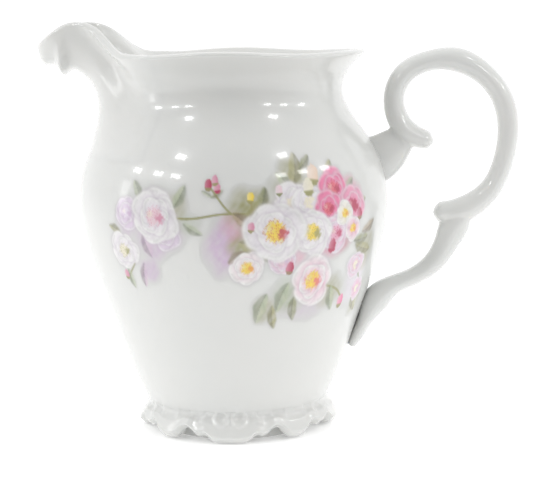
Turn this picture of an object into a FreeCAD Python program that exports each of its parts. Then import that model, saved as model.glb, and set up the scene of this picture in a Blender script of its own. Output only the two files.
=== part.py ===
import FreeCAD, Part
import Sketcher
import math
import os

# Porcelain cream jug: a slip-cast baluster body on a scalloped foot, with a moulded flaring lip,
# a luted scroll handle and fired-on floral transfers. Millimetres, +Z up. The lip is on -X and
# the handle on +X; the origin is the centre of the standing ring, at the level it stands on.

V = FreeCAD.Vector
UP = V(0, 0, 1)
ORIGIN = V(0, 0, 0)
doc = FreeCAD.newDocument("cream_jug")
sheet = doc.addObject("Spreadsheet::Sheet", "Sizes")
FAR = 200.0
FULL_TURN = 360.0

# ---------------------------------------------------------------- driving sizes
SIZES = {
    "foot_height": 9.0,
    "waist_radius": 26.5,
    "belly_radius": 45.2,
    "belly_height": 62.0,
    "neck_radius": 30.7,
    "neck_height": 95.5,
    "rim_radius": 40.4,
    "rim_height": 109.2,
    "wall": 2.2,
    "floor_thickness": 2.8,
    "well_inset": 3.5,
    # the waved rim, as depths below the full rim height
    "rim_arch_drop": 1.0,
    "rim_dip_drop": 2.6,
    "rim_tip_drop": 1.3,
    "rim_lip_drop": 2.0,
    "rim_dip_reach": 23.5,
    # the lip
    "lip_half_angle": 58.0,
    "lip_draw_start": 0.35,
    "lip_seat_height": 79.0,
    "lip_overhang": 14.8,
    "lip_tip_rise": 1.4,
    "lip_crest_rise": 5.9,
    "lip_channel_half_width": 9.4,
    "lip_throat_swell": 7.6,
    "lip_keel_sharpness": 5,
    "lip_flute_depth": 2.2,
    "lip_flute_pitch": 6.6,
    # the foot
    "skirt_overhang": 2.4,
    "skirt_wall": 2.6,
    "skirt_clearance": 0.3,
    "skirt_draft": 0.6,
    "flank_hollow": 0.4,
    "flank_swell": 0.9,
    "hem_round": 0.5,
    "ring_inset": 4.1,
    "ring_width": 3.0,
    "groove_depth": 4.6,
    "scallop_height": 3.7,
    "scallop_width": 5.4,
    "nick_height": 2.4,
    "nick_width": 2.6,
    # the handle: half its depth from side to side, along each member
    "scroll_half_depth": 3.8,
    "stem_half_depth": 4.6,
    "strut_half_depth": 3.4,
    # the fired-on enamel
    "enamel_thickness": 0.1,
}

# Shares of other sizes.
SHARES = {
    # where the rim's wave bends: shares of the dip's reach, then of the rim's radius
    "wave_lip_share": 0.8,
    "wave_rise_share": 0.35,
    "wave_crest_share": 0.25,
    "wave_tip_share": 0.9,
    "wave_end_share": 1.1,
    # the skirt's flank, as shares of the foot's height
    "flank_hollow_share": 0.8,
    "flank_swell_share": 0.52,
    "flank_hem_share": 0.1,
    "ring_round_share": 0.2,
    # the round head of each gap in the skirt, as shares of its height and its half width
    "gap_side_share": 0.55,
    "gap_shoulder_share": 0.88,
    "gap_head_share": 0.6,
    "gap_reach_share": 1.3,
}

# Control points of the wall's outer profile between the key stations: the share of the way out
# and up from the lower station to the upper one, then the direction its inner twin is inset.
PROFILE = [
    ("waist", "waist", "belly", 0.0, 0.0, 0.88, -0.47),
    ("ankle", "waist", "belly", 0.240, 0.170, 0.91, -0.41),
    ("flank", "waist", "belly", 0.476, 0.434, 0.94, -0.34),
    ("girth", "waist", "belly", 0.786, 0.717, 0.95, -0.32),
    ("belly", "waist", "belly", 1.0, 1.0, 1.0, -0.06),
    ("shoulder", "belly", "neck", 0.138, 0.478, 0.94, 0.36),
    ("collar", "belly", "neck", 0.717, 0.776, 0.82, 0.60),
    ("neck", "belly", "neck", 1.0, 1.0, 1.05, 0.12),
    ("flare", "neck", "rim", 0.216, 0.474, 0.92, -0.42),
    ("mouth", "neck", "rim", 0.567, 0.679, 0.72, -0.69),
    ("rim", "neck", "rim", 1.0, 1.0, 0.72, -0.69),
]
STATIONS = {
    "waist": ("waist_radius", "foot_height"),
    "belly": ("belly_radius", "belly_height"),
    "neck": ("neck_radius", "neck_height"),
    "rim": ("rim_radius", "rim_height"),
}

# The handle's runs, end to end: reach from the axis, height, half thickness in the handle's own
# plane, and share of the run's half depth from side to side. Reach and height are drawn for the
# belly named below, and kept as shares of its radius and height, so the handle follows the wall.
SCROLL = [
    (57.3, 81.1, 0.5, 0.2), (56.3, 81.3, 1.9, 0.7), (54.4, 81.9, 2.7, 1.0), (50.6, 83.6, 3.1, 1.15),
    (47.3, 87.8, 3.0, 1.1), (46.2, 94.0, 2.8, 1.0), (49.3, 100.6, 2.9, 1.0), (56.4, 104.1, 2.8, 1.0),
    (64.0, 104.2, 3.3, 1.05), (71.3, 100.4, 3.0, 1.0), (76.7, 93.4, 2.9, 1.0), (78.5, 85.0, 2.9, 1.0),
    (77.3, 76.0, 2.8, 1.0), (73.6, 67.6, 3.0, 1.0), (68.3, 62.9, 3.5, 1.1), (63.4, 61.0, 3.5, 1.15),
    (60.0, 60.9, 3.0, 1.1), (58.0, 60.9, 1.9, 0.8), (57.2, 60.9, 0.5, 0.2),
]
STEM = [
    (66.2, 61.0, 2.6, 0.8), (63.8, 57.9, 4.1, 0.95), (61.4, 53.0, 3.7, 0.9), (57.4, 46.6, 3.0, 0.85),
    (50.6, 42.0, 2.5, 0.85), (45.4, 39.7, 2.9, 1.0), (40.6, 35.6, 3.9, 1.25),
    (37.4, 30.2, 2.6, 1.3), (35.0, 25.6, 2.1, 1.1), (33.2, 22.4, 1.3, 0.6),
]
STRUT = [
    (38.0, 75.4, 7.6, 1.2), (41.9, 76.8, 6.8, 1.0), (46.4, 80.3, 5.2, 0.9), (49.6, 83.0, 3.4, 0.7),
]
RUNS = {"scroll": SCROLL, "stem": STEM, "strut": STRUT}
RUN_FIELDS = ("reach_share", "height_share", "half", "depth_share")
# The belly that the handle and the transfers are drawn for.
DRAWN_BELLY_RADIUS = 45.2
DRAWN_BELLY_HEIGHT = 62.0

# ---------------------------------------------------------------- the sheet
filled_rows = 0


def put(name, number):
    """One named size, on the next row of the sheet."""
    global filled_rows
    filled_rows += 1
    sheet.set("A%d" % filled_rows, name)
    sheet.set("B%d" % filled_rows, str(number))
    sheet.setAlias("B%d" % filled_rows, name)


for alias, number in {**SIZES, **SHARES}.items():
    put(alias, number)
for station, low, high, out_share, up_share, inset_out, inset_up in PROFILE:
    put(station + "_out_share", out_share)
    put(station + "_up_share", up_share)
    put(station + "_inset_out", inset_out)
    put(station + "_inset_up", inset_up)
for run_name, run in RUNS.items():
    for place, (reach, height, half, depth_share) in enumerate(run):
        shares = (reach / DRAWN_BELLY_RADIUS, height / DRAWN_BELLY_HEIGHT, half, depth_share)
        for field, number in zip(RUN_FIELDS, shares):
            put("%s_%s_%02d" % (run_name, field, place), number)
doc.recompute()


def size(name):
    """The number in the sheet's cell of that name."""
    return float(sheet.get(name))


def cell(name):
    """The cell of that name, as an expression."""
    return "Sizes." + name


def number_of(text):
    """What an expression comes to, read from the sheet."""
    return float(sheet.evalExpression(text))


# Sizes that follow from the neighbour they fit.
WELL_RADIUS = "(%s - %s)" % (cell("waist_radius"), cell("well_inset"))
SKIRT_RADIUS = "(%s + %s)" % (cell("waist_radius"), cell("skirt_overhang"))
RING_OUTER = "(%s - %s)" % (cell("waist_radius"), cell("ring_inset"))
RING_INNER = "(%s - %s)" % (RING_OUTER, cell("ring_width"))
LIP_REACH = "(%s + %s)" % (cell("rim_radius"), cell("lip_overhang"))
LIP_THROAT = "(%s + %s)" % (cell("neck_radius"), cell("lip_throat_swell"))


# ---------------------------------------------------------------- the wall's profile
def station_expressions(row):
    """Radius and height of one control point of the outer profile, as expressions."""
    station, low, high = row[:3]
    texts = []
    for axis, share in ((0, "_out_share"), (1, "_up_share")):
        start, end = cell(STATIONS[low][axis]), cell(STATIONS[high][axis])
        texts.append("%s + (%s - %s) * %s" % (start, end, start, cell(station + share)))
    return texts


def station_point(row, inset=0.0):
    """The same control point as numbers, moved inwards by inset."""
    station, low, high = row[:3]
    place = []
    for axis, share in ((0, "_out_share"), (1, "_up_share")):
        start, end = size(STATIONS[low][axis]), size(STATIONS[high][axis])
        place.append(start + (end - start) * size(station + share))
    radius = place[0] - inset * size(station + "_inset_out")
    return V(radius, 0, place[1] - inset * size(station + "_inset_up"))


def spline(poles):
    """The clamped cubic B-spline with those poles."""
    curve = Part.BSplineCurve()
    last = len(poles) - 3
    knots = [float(step) for step in range(last + 1)]
    curve.buildFromPolesMultsKnots(poles, [4] + [1] * (last - 1) + [4], knots, False, 3)
    return curve


def wall_curve(inset=0.0):
    """The wall's profile in the XZ plane: outer for inset 0, inner for inset = wall."""
    return spline([station_point(row, inset) for row in PROFILE])


HALVINGS = 40
TINY = 1e-6


def radius_at(curve, height):
    """Radius of a profile curve at a height, by halving."""
    low, high = curve.FirstParameter, curve.LastParameter
    for _ in range(HALVINGS):
        middle = (low + high) / 2
        if curve.value(middle).z < height:
            low = middle
        else:
            high = middle
    return curve.value(low).x


# ---------------------------------------------------------------- sketch helpers
def origin_plane(body, role):
    for feature in body.Origin.OriginFeatures:
        if feature.Role == role:
            return feature
    raise RuntimeError("no " + role)


def new_sketch(body, name, role):
    sketch = body.newObject("Sketcher::SketchObject", name)
    sketch.AttachmentSupport = [(origin_plane(body, role), "")]
    sketch.MapMode = "FlatFace"
    return sketch


def add_spline(sketch, places):
    """A B-spline edge whose poles are pinned at (across, upward, start_x, start_y)."""
    curve = sketch.addGeometry(spline([V(x, y, 0) for _, _, x, y in places]), False)
    for index, (across, upward, x, y) in enumerate(places):
        pole = sketch.addGeometry(Part.Circle(V(x, y, 0), UP, 1.0), True)
        sketch.addConstraint(Sketcher.Constraint("Weight", pole, 1.0))
        sketch.addConstraint(
            Sketcher.Constraint("InternalAlignment:Sketcher::BSplineControlPoint", pole, 3, curve, index))
        hold(sketch, pole, 3, across, upward, x, y)
    return curve


def hold(sketch, geometry, point, across, upward, x, y):
    """Pins a sketch point, signed so that each distance is positive; zero becomes an axis."""
    for kind, text, place, axis in (("DistanceX", across, x, -2), ("DistanceY", upward, y, -1)):
        if text == "0":
            sketch.addConstraint(Sketcher.Constraint("PointOnObject", geometry, point, axis))
            continue
        index = sketch.addConstraint(Sketcher.Constraint(kind, -1, 1, geometry, point, place))
        sketch.setExpression("Constraints[%d]" % index, text)


def add_line(sketch, start, end):
    return sketch.addGeometry(Part.LineSegment(V(start[0], start[1], 0), V(end[0], end[1], 0)), False)


def join(sketch, first, first_point, second, second_point):
    sketch.addConstraint(Sketcher.Constraint("Coincident", first, first_point, second, second_point))


def polygon(sketch, places):
    """A closed outline of straight edges through (across, upward, x, y) places."""
    count = len(places)
    edges = [add_line(sketch, places[k][2:], places[(k + 1) % count][2:]) for k in range(count)]
    for k in range(count):
        join(sketch, edges[k], 2, edges[(k + 1) % count], 1)
        hold(sketch, edges[k], 1, *places[k])
    return edges


def place_of(across, upward):
    """Expressions together with the numbers they come to now."""
    return across, upward, number_of(across), number_of(upward)


def check_removed(name, before, body):
    """A cut that misses its solid changes nothing, so its volume is compared."""
    if body.Shape.Volume >= before - TINY:
        raise RuntimeError(name + " removed nothing")


# ---------------------------------------------------------------- the body
def wall_places(inset):
    """The profile's poles for a sketch; inset names the cell to move them inwards by, or is empty."""
    places = []
    for row in PROFILE:
        radius, height = station_expressions(row)
        if inset:
            radius += " - %s * %s" % (cell(inset), cell(row[0] + "_inset_out"))
            height += " - %s * %s" % (cell(inset), cell(row[0] + "_inset_up"))
        places.append(place_of(radius, height))
    return places


def make_body():
    """The revolved wall with its waved rim, open where the lip is let in."""
    body = doc.addObject("PartDesign::Body", "body")
    sketch = new_sketch(body, "wall_profile", "XZ_Plane")
    outer = wall_places("")
    inner = wall_places("wall")
    floor = "%s + %s" % (cell("foot_height"), cell("floor_thickness"))
    inner[0] = place_of("0", floor)
    inner[1] = place_of(WELL_RADIUS, floor)
    outer_edge = add_spline(sketch, outer)
    inner_edge = add_spline(sketch, inner)
    rim_edge = add_line(sketch, outer[-1][2:], inner[-1][2:])
    base = add_line(sketch, (0, outer[0][3]), outer[0][2:])
    axis = add_line(sketch, inner[0][2:], (0, outer[0][3]))
    join(sketch, outer_edge, 2, rim_edge, 1)
    join(sketch, rim_edge, 2, inner_edge, 2)
    join(sketch, inner_edge, 1, axis, 1)
    join(sketch, axis, 2, base, 1)
    join(sketch, base, 2, outer_edge, 1)
    sketch.addConstraint(Sketcher.Constraint("PointOnObject", base, 1, -2))
    sketch.addConstraint(Sketcher.Constraint("Horizontal", base))
    turned = body.newObject("PartDesign::Revolution", "wall_turned")
    turned.Profile = sketch
    turned.ReferenceAxis = (sketch, ["V_Axis"])
    turned.Angle = FULL_TURN
    doc.recompute()
    cut_rim_wave(body)
    cut_lip_seat(body)
    return body


def rim_wave_places():
    """The rim's edge seen from the side, from the lip to beyond the handle."""
    reaches = (
        ("-%s" % cell("neck_radius"), "rim_lip_drop"),
        ("-%s * %s" % (cell("rim_dip_reach"), cell("wave_lip_share")), "rim_lip_drop"),
        ("-%s * %s" % (cell("rim_dip_reach"), cell("wave_rise_share")), "rim_arch_drop"),
        ("%s * %s" % (cell("rim_dip_reach"), cell("wave_crest_share")), "rim_arch_drop"),
        (cell("rim_dip_reach"), "rim_dip_drop"),
        ("%s * %s" % (cell("rim_radius"), cell("wave_tip_share")), "rim_tip_drop"),
        ("%s * %s" % (cell("rim_radius"), cell("wave_end_share")), "rim_tip_drop"),
    )
    return [place_of(x, "%s - %s" % (cell("rim_height"), cell(drop))) for x, drop in reaches]


def cut_rim_wave(body):
    """Trims the rim to its wave, straight across the jug."""
    before = body.Shape.Volume
    sketch = new_sketch(body, "rim_wave", "XZ_Plane")
    wave = rim_wave_places()
    edge = add_spline(sketch, wave)
    top = "%s * 2" % cell("rim_height")
    corners = [place_of(wave[-1][0], top), place_of(wave[0][0], top)]
    riser = add_line(sketch, wave[-1][2:], corners[0][2:])
    across = add_line(sketch, corners[0][2:], corners[1][2:])
    drop = add_line(sketch, corners[1][2:], wave[0][2:])
    join(sketch, edge, 2, riser, 1)
    join(sketch, riser, 2, across, 1)
    join(sketch, across, 2, drop, 1)
    join(sketch, drop, 2, edge, 1)
    hold(sketch, across, 1, *corners[0])
    hold(sketch, across, 2, *corners[1])
    pocket = body.newObject("PartDesign::Pocket", "rim_waved")
    pocket.Profile = sketch
    pocket.Type = "ThroughAll"
    pocket.Midplane = True
    doc.recompute()
    check_removed("rim_waved", before, body)


def cut_lip_seat(body):
    """Opens the sector that the lip fills, down to its seat on the shoulder."""
    before = body.Shape.Volume
    sketch = new_sketch(body, "lip_sector", "XY_Plane")
    side = "%s * 2" % cell("rim_radius")
    near_x = "-%s * cos(%s * 1deg)" % (side, cell("lip_half_angle"))
    far_y = "%s * sin(%s * 1deg)" % (side, cell("lip_half_angle"))
    polygon(sketch, [place_of("0", "0"), place_of(near_x, far_y), place_of("-" + side, far_y),
                     place_of("-" + side, "-" + far_y), place_of(near_x, "-" + far_y)])
    pocket = body.newObject("PartDesign::Pocket", "lip_let_in")
    pocket.Profile = sketch
    sketch.AttachmentOffset = FreeCAD.Placement(V(0, 0, size("lip_seat_height")), FreeCAD.Rotation())
    sketch.setExpression("AttachmentOffset.Base.z", cell("lip_seat_height"))
    pocket.Type = "Length"
    pocket.setExpression("Length", cell("rim_height"))
    pocket.Reversed = True
    doc.recompute()
    check_removed("lip_let_in", before, body)


# ---------------------------------------------------------------- the foot
SCALLOPS = (("arch", (28.5, 54.0, 78.0)), ("nick", (15.5,)))
QUARTERS = ((1, 0), (-1, 180))


def make_foot():
    """A scalloped skirt around a plain standing ring, both hanging from one web."""
    foot = doc.addObject("PartDesign::Body", "foot")
    waist, top = cell("waist_radius"), cell("foot_height")
    hem = cell("skirt_clearance")
    inside = "%s - %s" % (SKIRT_RADIUS, cell("skirt_wall"))
    web = cell("groove_depth")
    sketch = new_sketch(foot, "skirt_profile", "XZ_Plane")
    flank = [place_of(waist, top),
             place_of("%s - %s" % (waist, cell("flank_hollow")),
                      "%s * %s" % (top, cell("flank_hollow_share"))),
             place_of("%s + %s" % (SKIRT_RADIUS, cell("flank_swell")),
                      "%s * %s" % (top, cell("flank_swell_share"))),
             place_of(SKIRT_RADIUS, "%s * %s" % (top, cell("flank_hem_share"))),
             place_of("%s - %s" % (SKIRT_RADIUS, cell("hem_round")), hem)]
    edge = add_spline(sketch, flank)
    corners = [flank[-1], place_of(inside, hem), place_of("%s - %s" % (inside, cell("skirt_draft")), web),
               place_of(RING_OUTER, web), place_of(RING_INNER, web), place_of(RING_INNER, top), flank[0]]
    close_outline(sketch, edge, corners)
    revolve(foot, sketch, "skirt_turned")
    cut_scallops(foot)
    ring = new_sketch(foot, "ring_profile", "XZ_Plane")
    round_off = "%s * %s" % (cell("ring_width"), cell("ring_round_share"))
    polygon(ring, [place_of(RING_INNER, web), place_of("%s + %s" % (RING_INNER, round_off), "0"),
                   place_of("%s - %s" % (RING_OUTER, round_off), "0"), place_of(RING_OUTER, web)])
    revolve(foot, ring, "standing_ring")
    return foot


def close_outline(sketch, edge, corners):
    """Straight edges from a spline's end back to its start, through the corners between."""
    lines = [add_line(sketch, corners[k][2:], corners[k + 1][2:]) for k in range(len(corners) - 1)]
    join(sketch, edge, 2, lines[0], 1)
    for k in range(len(lines) - 1):
        join(sketch, lines[k], 2, lines[k + 1], 1)
        hold(sketch, lines[k], 2, *corners[k + 1])
    join(sketch, lines[-1], 2, edge, 1)


def revolve(body, sketch, name):
    turned = body.newObject("PartDesign::Revolution", name)
    turned.Profile = sketch
    turned.ReferenceAxis = (sketch, ["V_Axis"])
    turned.Angle = FULL_TURN
    doc.recompute()
    return turned


def cut_scallops(foot):
    """Arches and nicks between the skirt's lobes, each cut inwards and mirrored all round."""
    for kind, bearings in SCALLOPS:
        for bearing in bearings:
            for side, turn in QUARTERS:
                for hand in (1, -1):
                    angle = turn + hand * bearing
                    name = "%s_%s_%d" % (kind, "front" if side > 0 else "back", hand * bearing)
                    cut_one_scallop(foot, name.replace("-", "m"), kind, angle)


def cut_one_scallop(foot, name, kind, angle):
    """One round-headed gap through the skirt, at a bearing from the jug's front."""
    before = foot.Shape.Volume
    sketch = new_sketch(foot, name, "XZ_Plane")
    half, top = "%s_width / 2" % cell(kind_of(kind)), cell(kind_of(kind) + "_height")
    side = "%s * %s" % (top, cell("gap_side_share"))
    shoulder = "%s * %s" % (top, cell("gap_shoulder_share"))
    head = "%s * %s" % (half, cell("gap_head_share"))
    below = "-" + top
    polygon(sketch, [place_of("-(%s)" % half, below), place_of(half, below), place_of(half, side),
                     place_of(head, shoulder), place_of("0", top), place_of("-(%s)" % head, shoulder),
                     place_of("-(%s)" % half, side)])
    sketch.AttachmentOffset = FreeCAD.Placement(ORIGIN, FreeCAD.Rotation(V(0, 1, 0), angle))
    pocket = foot.newObject("PartDesign::Pocket", name + "_cut")
    pocket.Profile = sketch
    pocket.Type = "Length"
    pocket.setExpression("Length", "%s * %s" % (SKIRT_RADIUS, cell("gap_reach_share")))
    pocket.Reversed = True
    doc.recompute()
    check_removed(name, before, foot)


def kind_of(kind):
    return {"arch": "scallop", "nick": "nick"}[kind]


# ---------------------------------------------------------------- the lip
# The keel, under the middle of the lip: share of the way out from the throat to the lip's reach,
# and up from the seat to the tip.
KEEL = [(0.080, 0.142), (-0.030, 0.364), (-0.010, 0.600), (0.250, 0.780),
        (0.620, 0.830), (0.970, 0.860), (1.0, 1.0)]
# The lip's edge, tip to rim: share of the reach, of the channel's half width, and of the crest's
# rise above the rim.
LIP_EDGE = [(1.0, 0.0, 0.22), (0.998, 0.34, 0.28), (0.955, 0.78, 0.52), (0.845, 1.05, 1.22),
            (0.752, 1.13, 1.36), (0.670, 1.36, 0.90), (0.594, 1.92, 0.12), (0.523, 2.60, -0.36)]
for place, (out_share, up_share) in enumerate(KEEL):
    put("keel_out_%d" % place, out_share)
    put("keel_up_%d" % place, up_share)
for place, shares in enumerate(LIP_EDGE):
    for field, share in zip(("out", "side", "rise"), shares):
        put("lip_edge_%s_%d" % (field, place), share)
doc.recompute()
RIBS = 24
HIGH_START = 0.55
STEPS = [HIGH_START * k / 8 for k in range(8)]
STEPS += [HIGH_START + (1 - HIGH_START) * k / 16 for k in range(17)]
CROWN_STEPS, CROWN_RISE = 5, 0.45
SEAT_BLEND, SIDE_BLEND = 0.25, 0.3
SMALL = 1e-3
RIM_SIDE_SHARE = 0.93
INNER_EDGE_DROP = 0.4
# The lobes under the lip: how many, where they end across it, how they fade out there and below
# the edge, and how narrow they are.
LOBES, LOBE_SIDE, LOBE_FADE, LOBE_EDGE, LOBE_POWER = 1.7, 0.6, 0.45, 0.22, 1.5


def ease(share):
    """Smooth step from 0 to 1."""
    share = min(max(share, 0.0), 1.0)
    return share * share * (3 - 2 * share)


class Lip:
    """The lip's outer surface, over s (seat to edge) and t (0 at the keel, 1 at either side)."""

    def __init__(self):
        self.outer = wall_curve()
        self.inner = wall_curve(size("wall"))
        self.seat = size("lip_seat_height")
        self.half_angle = math.radians(size("lip_half_angle"))
        self.side_height = self.rim_height_at_side()
        self.side_radius = radius_at(self.outer, self.side_height)
        self.reach = number_of(LIP_REACH)
        self.keel = spline(self.keel_poles())
        self.edge = spline(self.edge_poles())

    def rim_height_at_side(self):
        """Height of the waved rim where the lip meets it."""
        wave = spline([V(x, 0, z) for _, _, x, z in rim_wave_places()])
        reach = size("rim_radius") * RIM_SIDE_SHARE * math.cos(self.half_angle)
        low, high = wave.FirstParameter, wave.LastParameter
        for _ in range(HALVINGS):
            middle = (low + high) / 2
            low, high = (middle, high) if wave.value(middle).x < -reach else (low, middle)
        return wave.value(low).z

    def keel_poles(self):
        throat = number_of(LIP_THROAT)
        tip = size("rim_height") + size("lip_tip_rise")
        poles = [V(radius_at(self.outer, self.seat), 0, self.seat)]
        for place in range(len(KEEL)):
            out = throat + (self.reach - throat) * size("keel_out_%d" % place)
            poles.append(V(out, 0, self.seat + (tip - self.seat) * size("keel_up_%d" % place)))
        return poles

    def edge_poles(self):
        poles = []
        for place in range(len(LIP_EDGE)):
            x = -self.reach * size("lip_edge_out_%d" % place)
            y = size("lip_channel_half_width") * size("lip_edge_side_%d" % place)
            rise = size("lip_crest_rise") * size("lip_edge_rise_%d" % place)
            poles.append(V(x, y, size("rim_height") + rise))
        side = self.around(self.side_radius, self.half_angle, self.side_height)
        step = self.side_radius * self.half_angle / (3 * len(LIP_EDGE))
        tangent = V(math.sin(self.half_angle), math.cos(self.half_angle), 0) * step
        return poles + [side - tangent * 3, side - tangent, side]

    def around(self, radius, angle, height):
        return V(-radius * math.cos(angle), radius * math.sin(angle), height)

    def plain(self, s, t):
        """The lip without lobes: wall at the sides, keel in the middle, edge on top."""
        hand, t = (-1 if t < 0 else 1), abs(t)
        wall_height = self.seat + (self.side_height - self.seat) * s
        share = math.cos(math.pi / 2 * t) ** size("lip_keel_sharpness")
        low = self.blend(radius_at(self.outer, wall_height), wall_height, s, share)
        top = self.blend(self.side_radius, self.side_height, 1.0, share)
        edge = self.edge.value(self.edge.LastParameter * t)
        drawn = ease((s - size("lip_draw_start")) / (1 - size("lip_draw_start")))
        radius = low[0] + (math.hypot(edge.x, edge.y) - top[0]) * drawn
        height = low[1] + (edge.z - top[1]) * drawn
        turn = self.half_angle * t
        turn += (math.atan2(edge.y, -edge.x) - turn) * drawn
        return self.around(radius, hand * turn, height)

    def blend(self, radius, height, s, share):
        """Radius and height on the way from the wall to the keel."""
        middle = self.keel.value(self.keel.LastParameter * s)
        return radius + (middle.x - radius) * share, height + (middle.z - height) * share

    def normal(self, s, t):
        """Unit normal pointing out of the jug."""
        s = min(max(s, SMALL), 1 - SMALL)
        t = min(max(t, -1 + SMALL), 1 - SMALL)
        along = self.plain(s + SMALL, t) - self.plain(s - SMALL, t)
        across = self.plain(s, t + SMALL) - self.plain(s, t - SMALL)
        direction = along.cross(across)
        return direction.normalize()

    def lobe(self, point, s, t):
        """Height of the lobes that hang under the lip, over its reach, its height and its side."""
        pitch = size("lip_flute_pitch")
        beyond = self.reach - LOBES * pitch
        out = -point.x - beyond
        window = min(max(2 * out / pitch, 0.0), 1.0) * ease((LOBE_SIDE - abs(t)) / LOBE_FADE)
        raised = (0.5 - 0.5 * math.cos(2 * math.pi * out / pitch)) ** LOBE_POWER
        return size("lip_flute_depth") * window * raised * ease((1 - s) / LOBE_EDGE)

    def rib(self, t):
        """The points of one cross-section, from the seat up the outside, over the edge and back down."""
        outside, inside = [], []
        for s in STEPS:
            point = self.plain(s, t)
            twin = self.wall_inside(s, t)
            if abs(t) < 1 and s > 0:
                normal = self.normal(s, t)
                share = min(1.0, s / SEAT_BLEND) * min(1.0, (1 - abs(t)) / SIDE_BLEND)
                twin = twin + (point - normal * size("wall") - twin) * share
                point = point + normal * self.lobe(point, s, t)
            outside.append(point)
            inside.append(twin)
        return outside + self.crown(outside, inside) + inside[::-1]

    def crown(self, outside, inside):
        """Points over the rounded edge, between the last outside point and the last inside one."""
        middle = (outside[-1] + inside[-1]) * 0.5
        reach = outside[-1] - middle
        rise = (outside[-1] - outside[-2]).normalize() * size("wall") * CROWN_RISE
        turns = [math.pi * k / (CROWN_STEPS + 1) for k in range(1, CROWN_STEPS + 1)]
        return [middle + reach * math.cos(turn) + rise * math.sin(turn) for turn in turns]

    def wall_inside(self, s, t):
        """The inner wall's point opposite an outer one, in the same upright plane."""
        top = self.side_height - size("wall") * INNER_EDGE_DROP
        height = self.seat + (top - self.seat) * s
        return self.around(radius_at(self.inner, height), self.half_angle * t, height)


def make_lip():
    """The flaring lip, a skin over its ribs closed by the seat and the two cut sides of the wall."""
    surface = Lip()
    skin = Part.BSplineSurface()
    skin.interpolate([surface.rib(-1 + 2.0 * k / RIBS) for k in range(RIBS + 1)])
    first_rib, last_rib, first_row, last_row = skin.bounds()
    sides = [skin.uIso(place) for place in (first_rib, last_rib)]
    rows = [skin.vIso(place) for place in (first_row, last_row)]
    faces = [skin.toShape()]
    joins = []
    for side in sides:
        start, end = side.value(side.FirstParameter), side.value(side.LastParameter)
        joins.append(Part.LineSegment(end, start))
        faces.append(Part.Face(Part.Wire([side.toShape(), joins[-1].toShape()])))
    faces.append(Part.Face(Part.Wire(Part.__sortEdges__([edge.toShape() for edge in rows + joins]))))
    shell = Part.makeShell(faces)
    shell.sewShape()
    solid = Part.makeSolid(shell)
    if solid.Volume < 0:
        solid.reverse()
    return feature("spout", solid)


def feature(label, shape):
    """A sub-part whose shape is made here, in the jug's own frame."""
    made = doc.addObject("Part::Feature", label)
    made.Label = label
    made.Shape = shape
    made.Placement = FreeCAD.Placement()
    return made


# ---------------------------------------------------------------- the handle
SIDES = 8
SPLINE_SHRINK = (2 + math.cos(2 * math.pi / SIDES)) / 3


def run_sections(run_name):
    """Centre, half thickness and half depth of each section of one run."""
    sections = []
    for place in range(len(RUNS[run_name])):
        names = ["%s_%s_%02d" % (run_name, field, place) for field in RUN_FIELDS]
        reach, height, half, share = (size(name) for name in names)
        centre = V(reach * size("belly_radius"), 0, height * size("belly_height"))
        sections.append((centre, half, share * size(run_name + "_half_depth")))
    return sections


def make_run(run_name):
    """One rounded bar of the handle, lofted through oval sections square to its line."""
    sections = run_sections(run_name)
    wires = []
    for place, (centre, half, depth) in enumerate(sections):
        before = sections[max(place - 1, 0)][0]
        after = sections[min(place + 1, len(sections) - 1)][0]
        along = (after - before).normalize()
        across = V(along.z, 0, -along.x)
        poles = []
        for corner in range(SIDES):
            angle = 2 * math.pi * corner / SIDES
            offset = across * (half * math.cos(angle)) + V(0, depth * math.sin(angle), 0)
            poles.append(centre + offset * (1 / SPLINE_SHRINK))
        oval = Part.BSplineCurve()
        oval.buildFromPoles(poles, True, 3)
        wires.append(Part.Wire([oval.toShape()]))
    return Part.makeLoft(wires, True, False)


def envelope():
    """The solid that the outside of the jug's wall encloses, from the foot to the rim."""
    curve = wall_curve()
    start, end = curve.value(curve.FirstParameter), curve.value(curve.LastParameter)
    corners = [V(0, 0, start.z), V(0, 0, end.z)]
    edges = [curve.toShape(), Part.LineSegment(end, corners[1]).toShape(),
             Part.LineSegment(corners[1], corners[0]).toShape(),
             Part.LineSegment(corners[0], start).toShape()]
    return Part.Face(Part.Wire(edges)).revolve(ORIGIN, UP, FULL_TURN)


def make_handle():
    """The cast handle: thumb scroll and loop, stem and strut in one, seated on the wall."""
    bars = [make_run(name) for name in ("scroll", "stem", "strut")]
    whole = bars[0].fuse(bars[1:])
    seated = whole.cut(envelope())
    solids = sorted(seated.Solids, key=lambda solid: solid.Volume)
    return feature("handle", solids[-1])


# ---------------------------------------------------------------- the fired-on transfers
# Each outline from the front, across and up, drawn for the same belly as the handle.
TRANSFERS = {
    "transfer_spray": [(-7.5, 58), (-4, 68), (6, 75), (20, 84), (31, 79), (39.5, 70), (41.5, 57),
                       (38, 43), (29, 31.5), (12, 31.5), (5, 44)],
    "transfer_buds": [(-34, 54), (-29.5, 63), (-29, 72), (-20, 74.5), (-10, 75), (-9.3, 66),
                      (-12, 57.5), (-17.5, 50), (-20, 42), (-29, 43.5)],
    "transfer_sprig": [(-9.4, 60.5), (-9.4, 69), (-7.5, 76.5), (-2.2, 77), (-1.0, 73), (-5.6, 68.5),
                       (-5.9, 62)],
}
for transfer, outline in TRANSFERS.items():
    for place, (across, upward) in enumerate(outline):
        put("%s_across_share_%02d" % (transfer, place), across / DRAWN_BELLY_RADIUS)
        put("%s_upward_share_%02d" % (transfer, place), upward / DRAWN_BELLY_HEIGHT)
doc.recompute()


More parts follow.
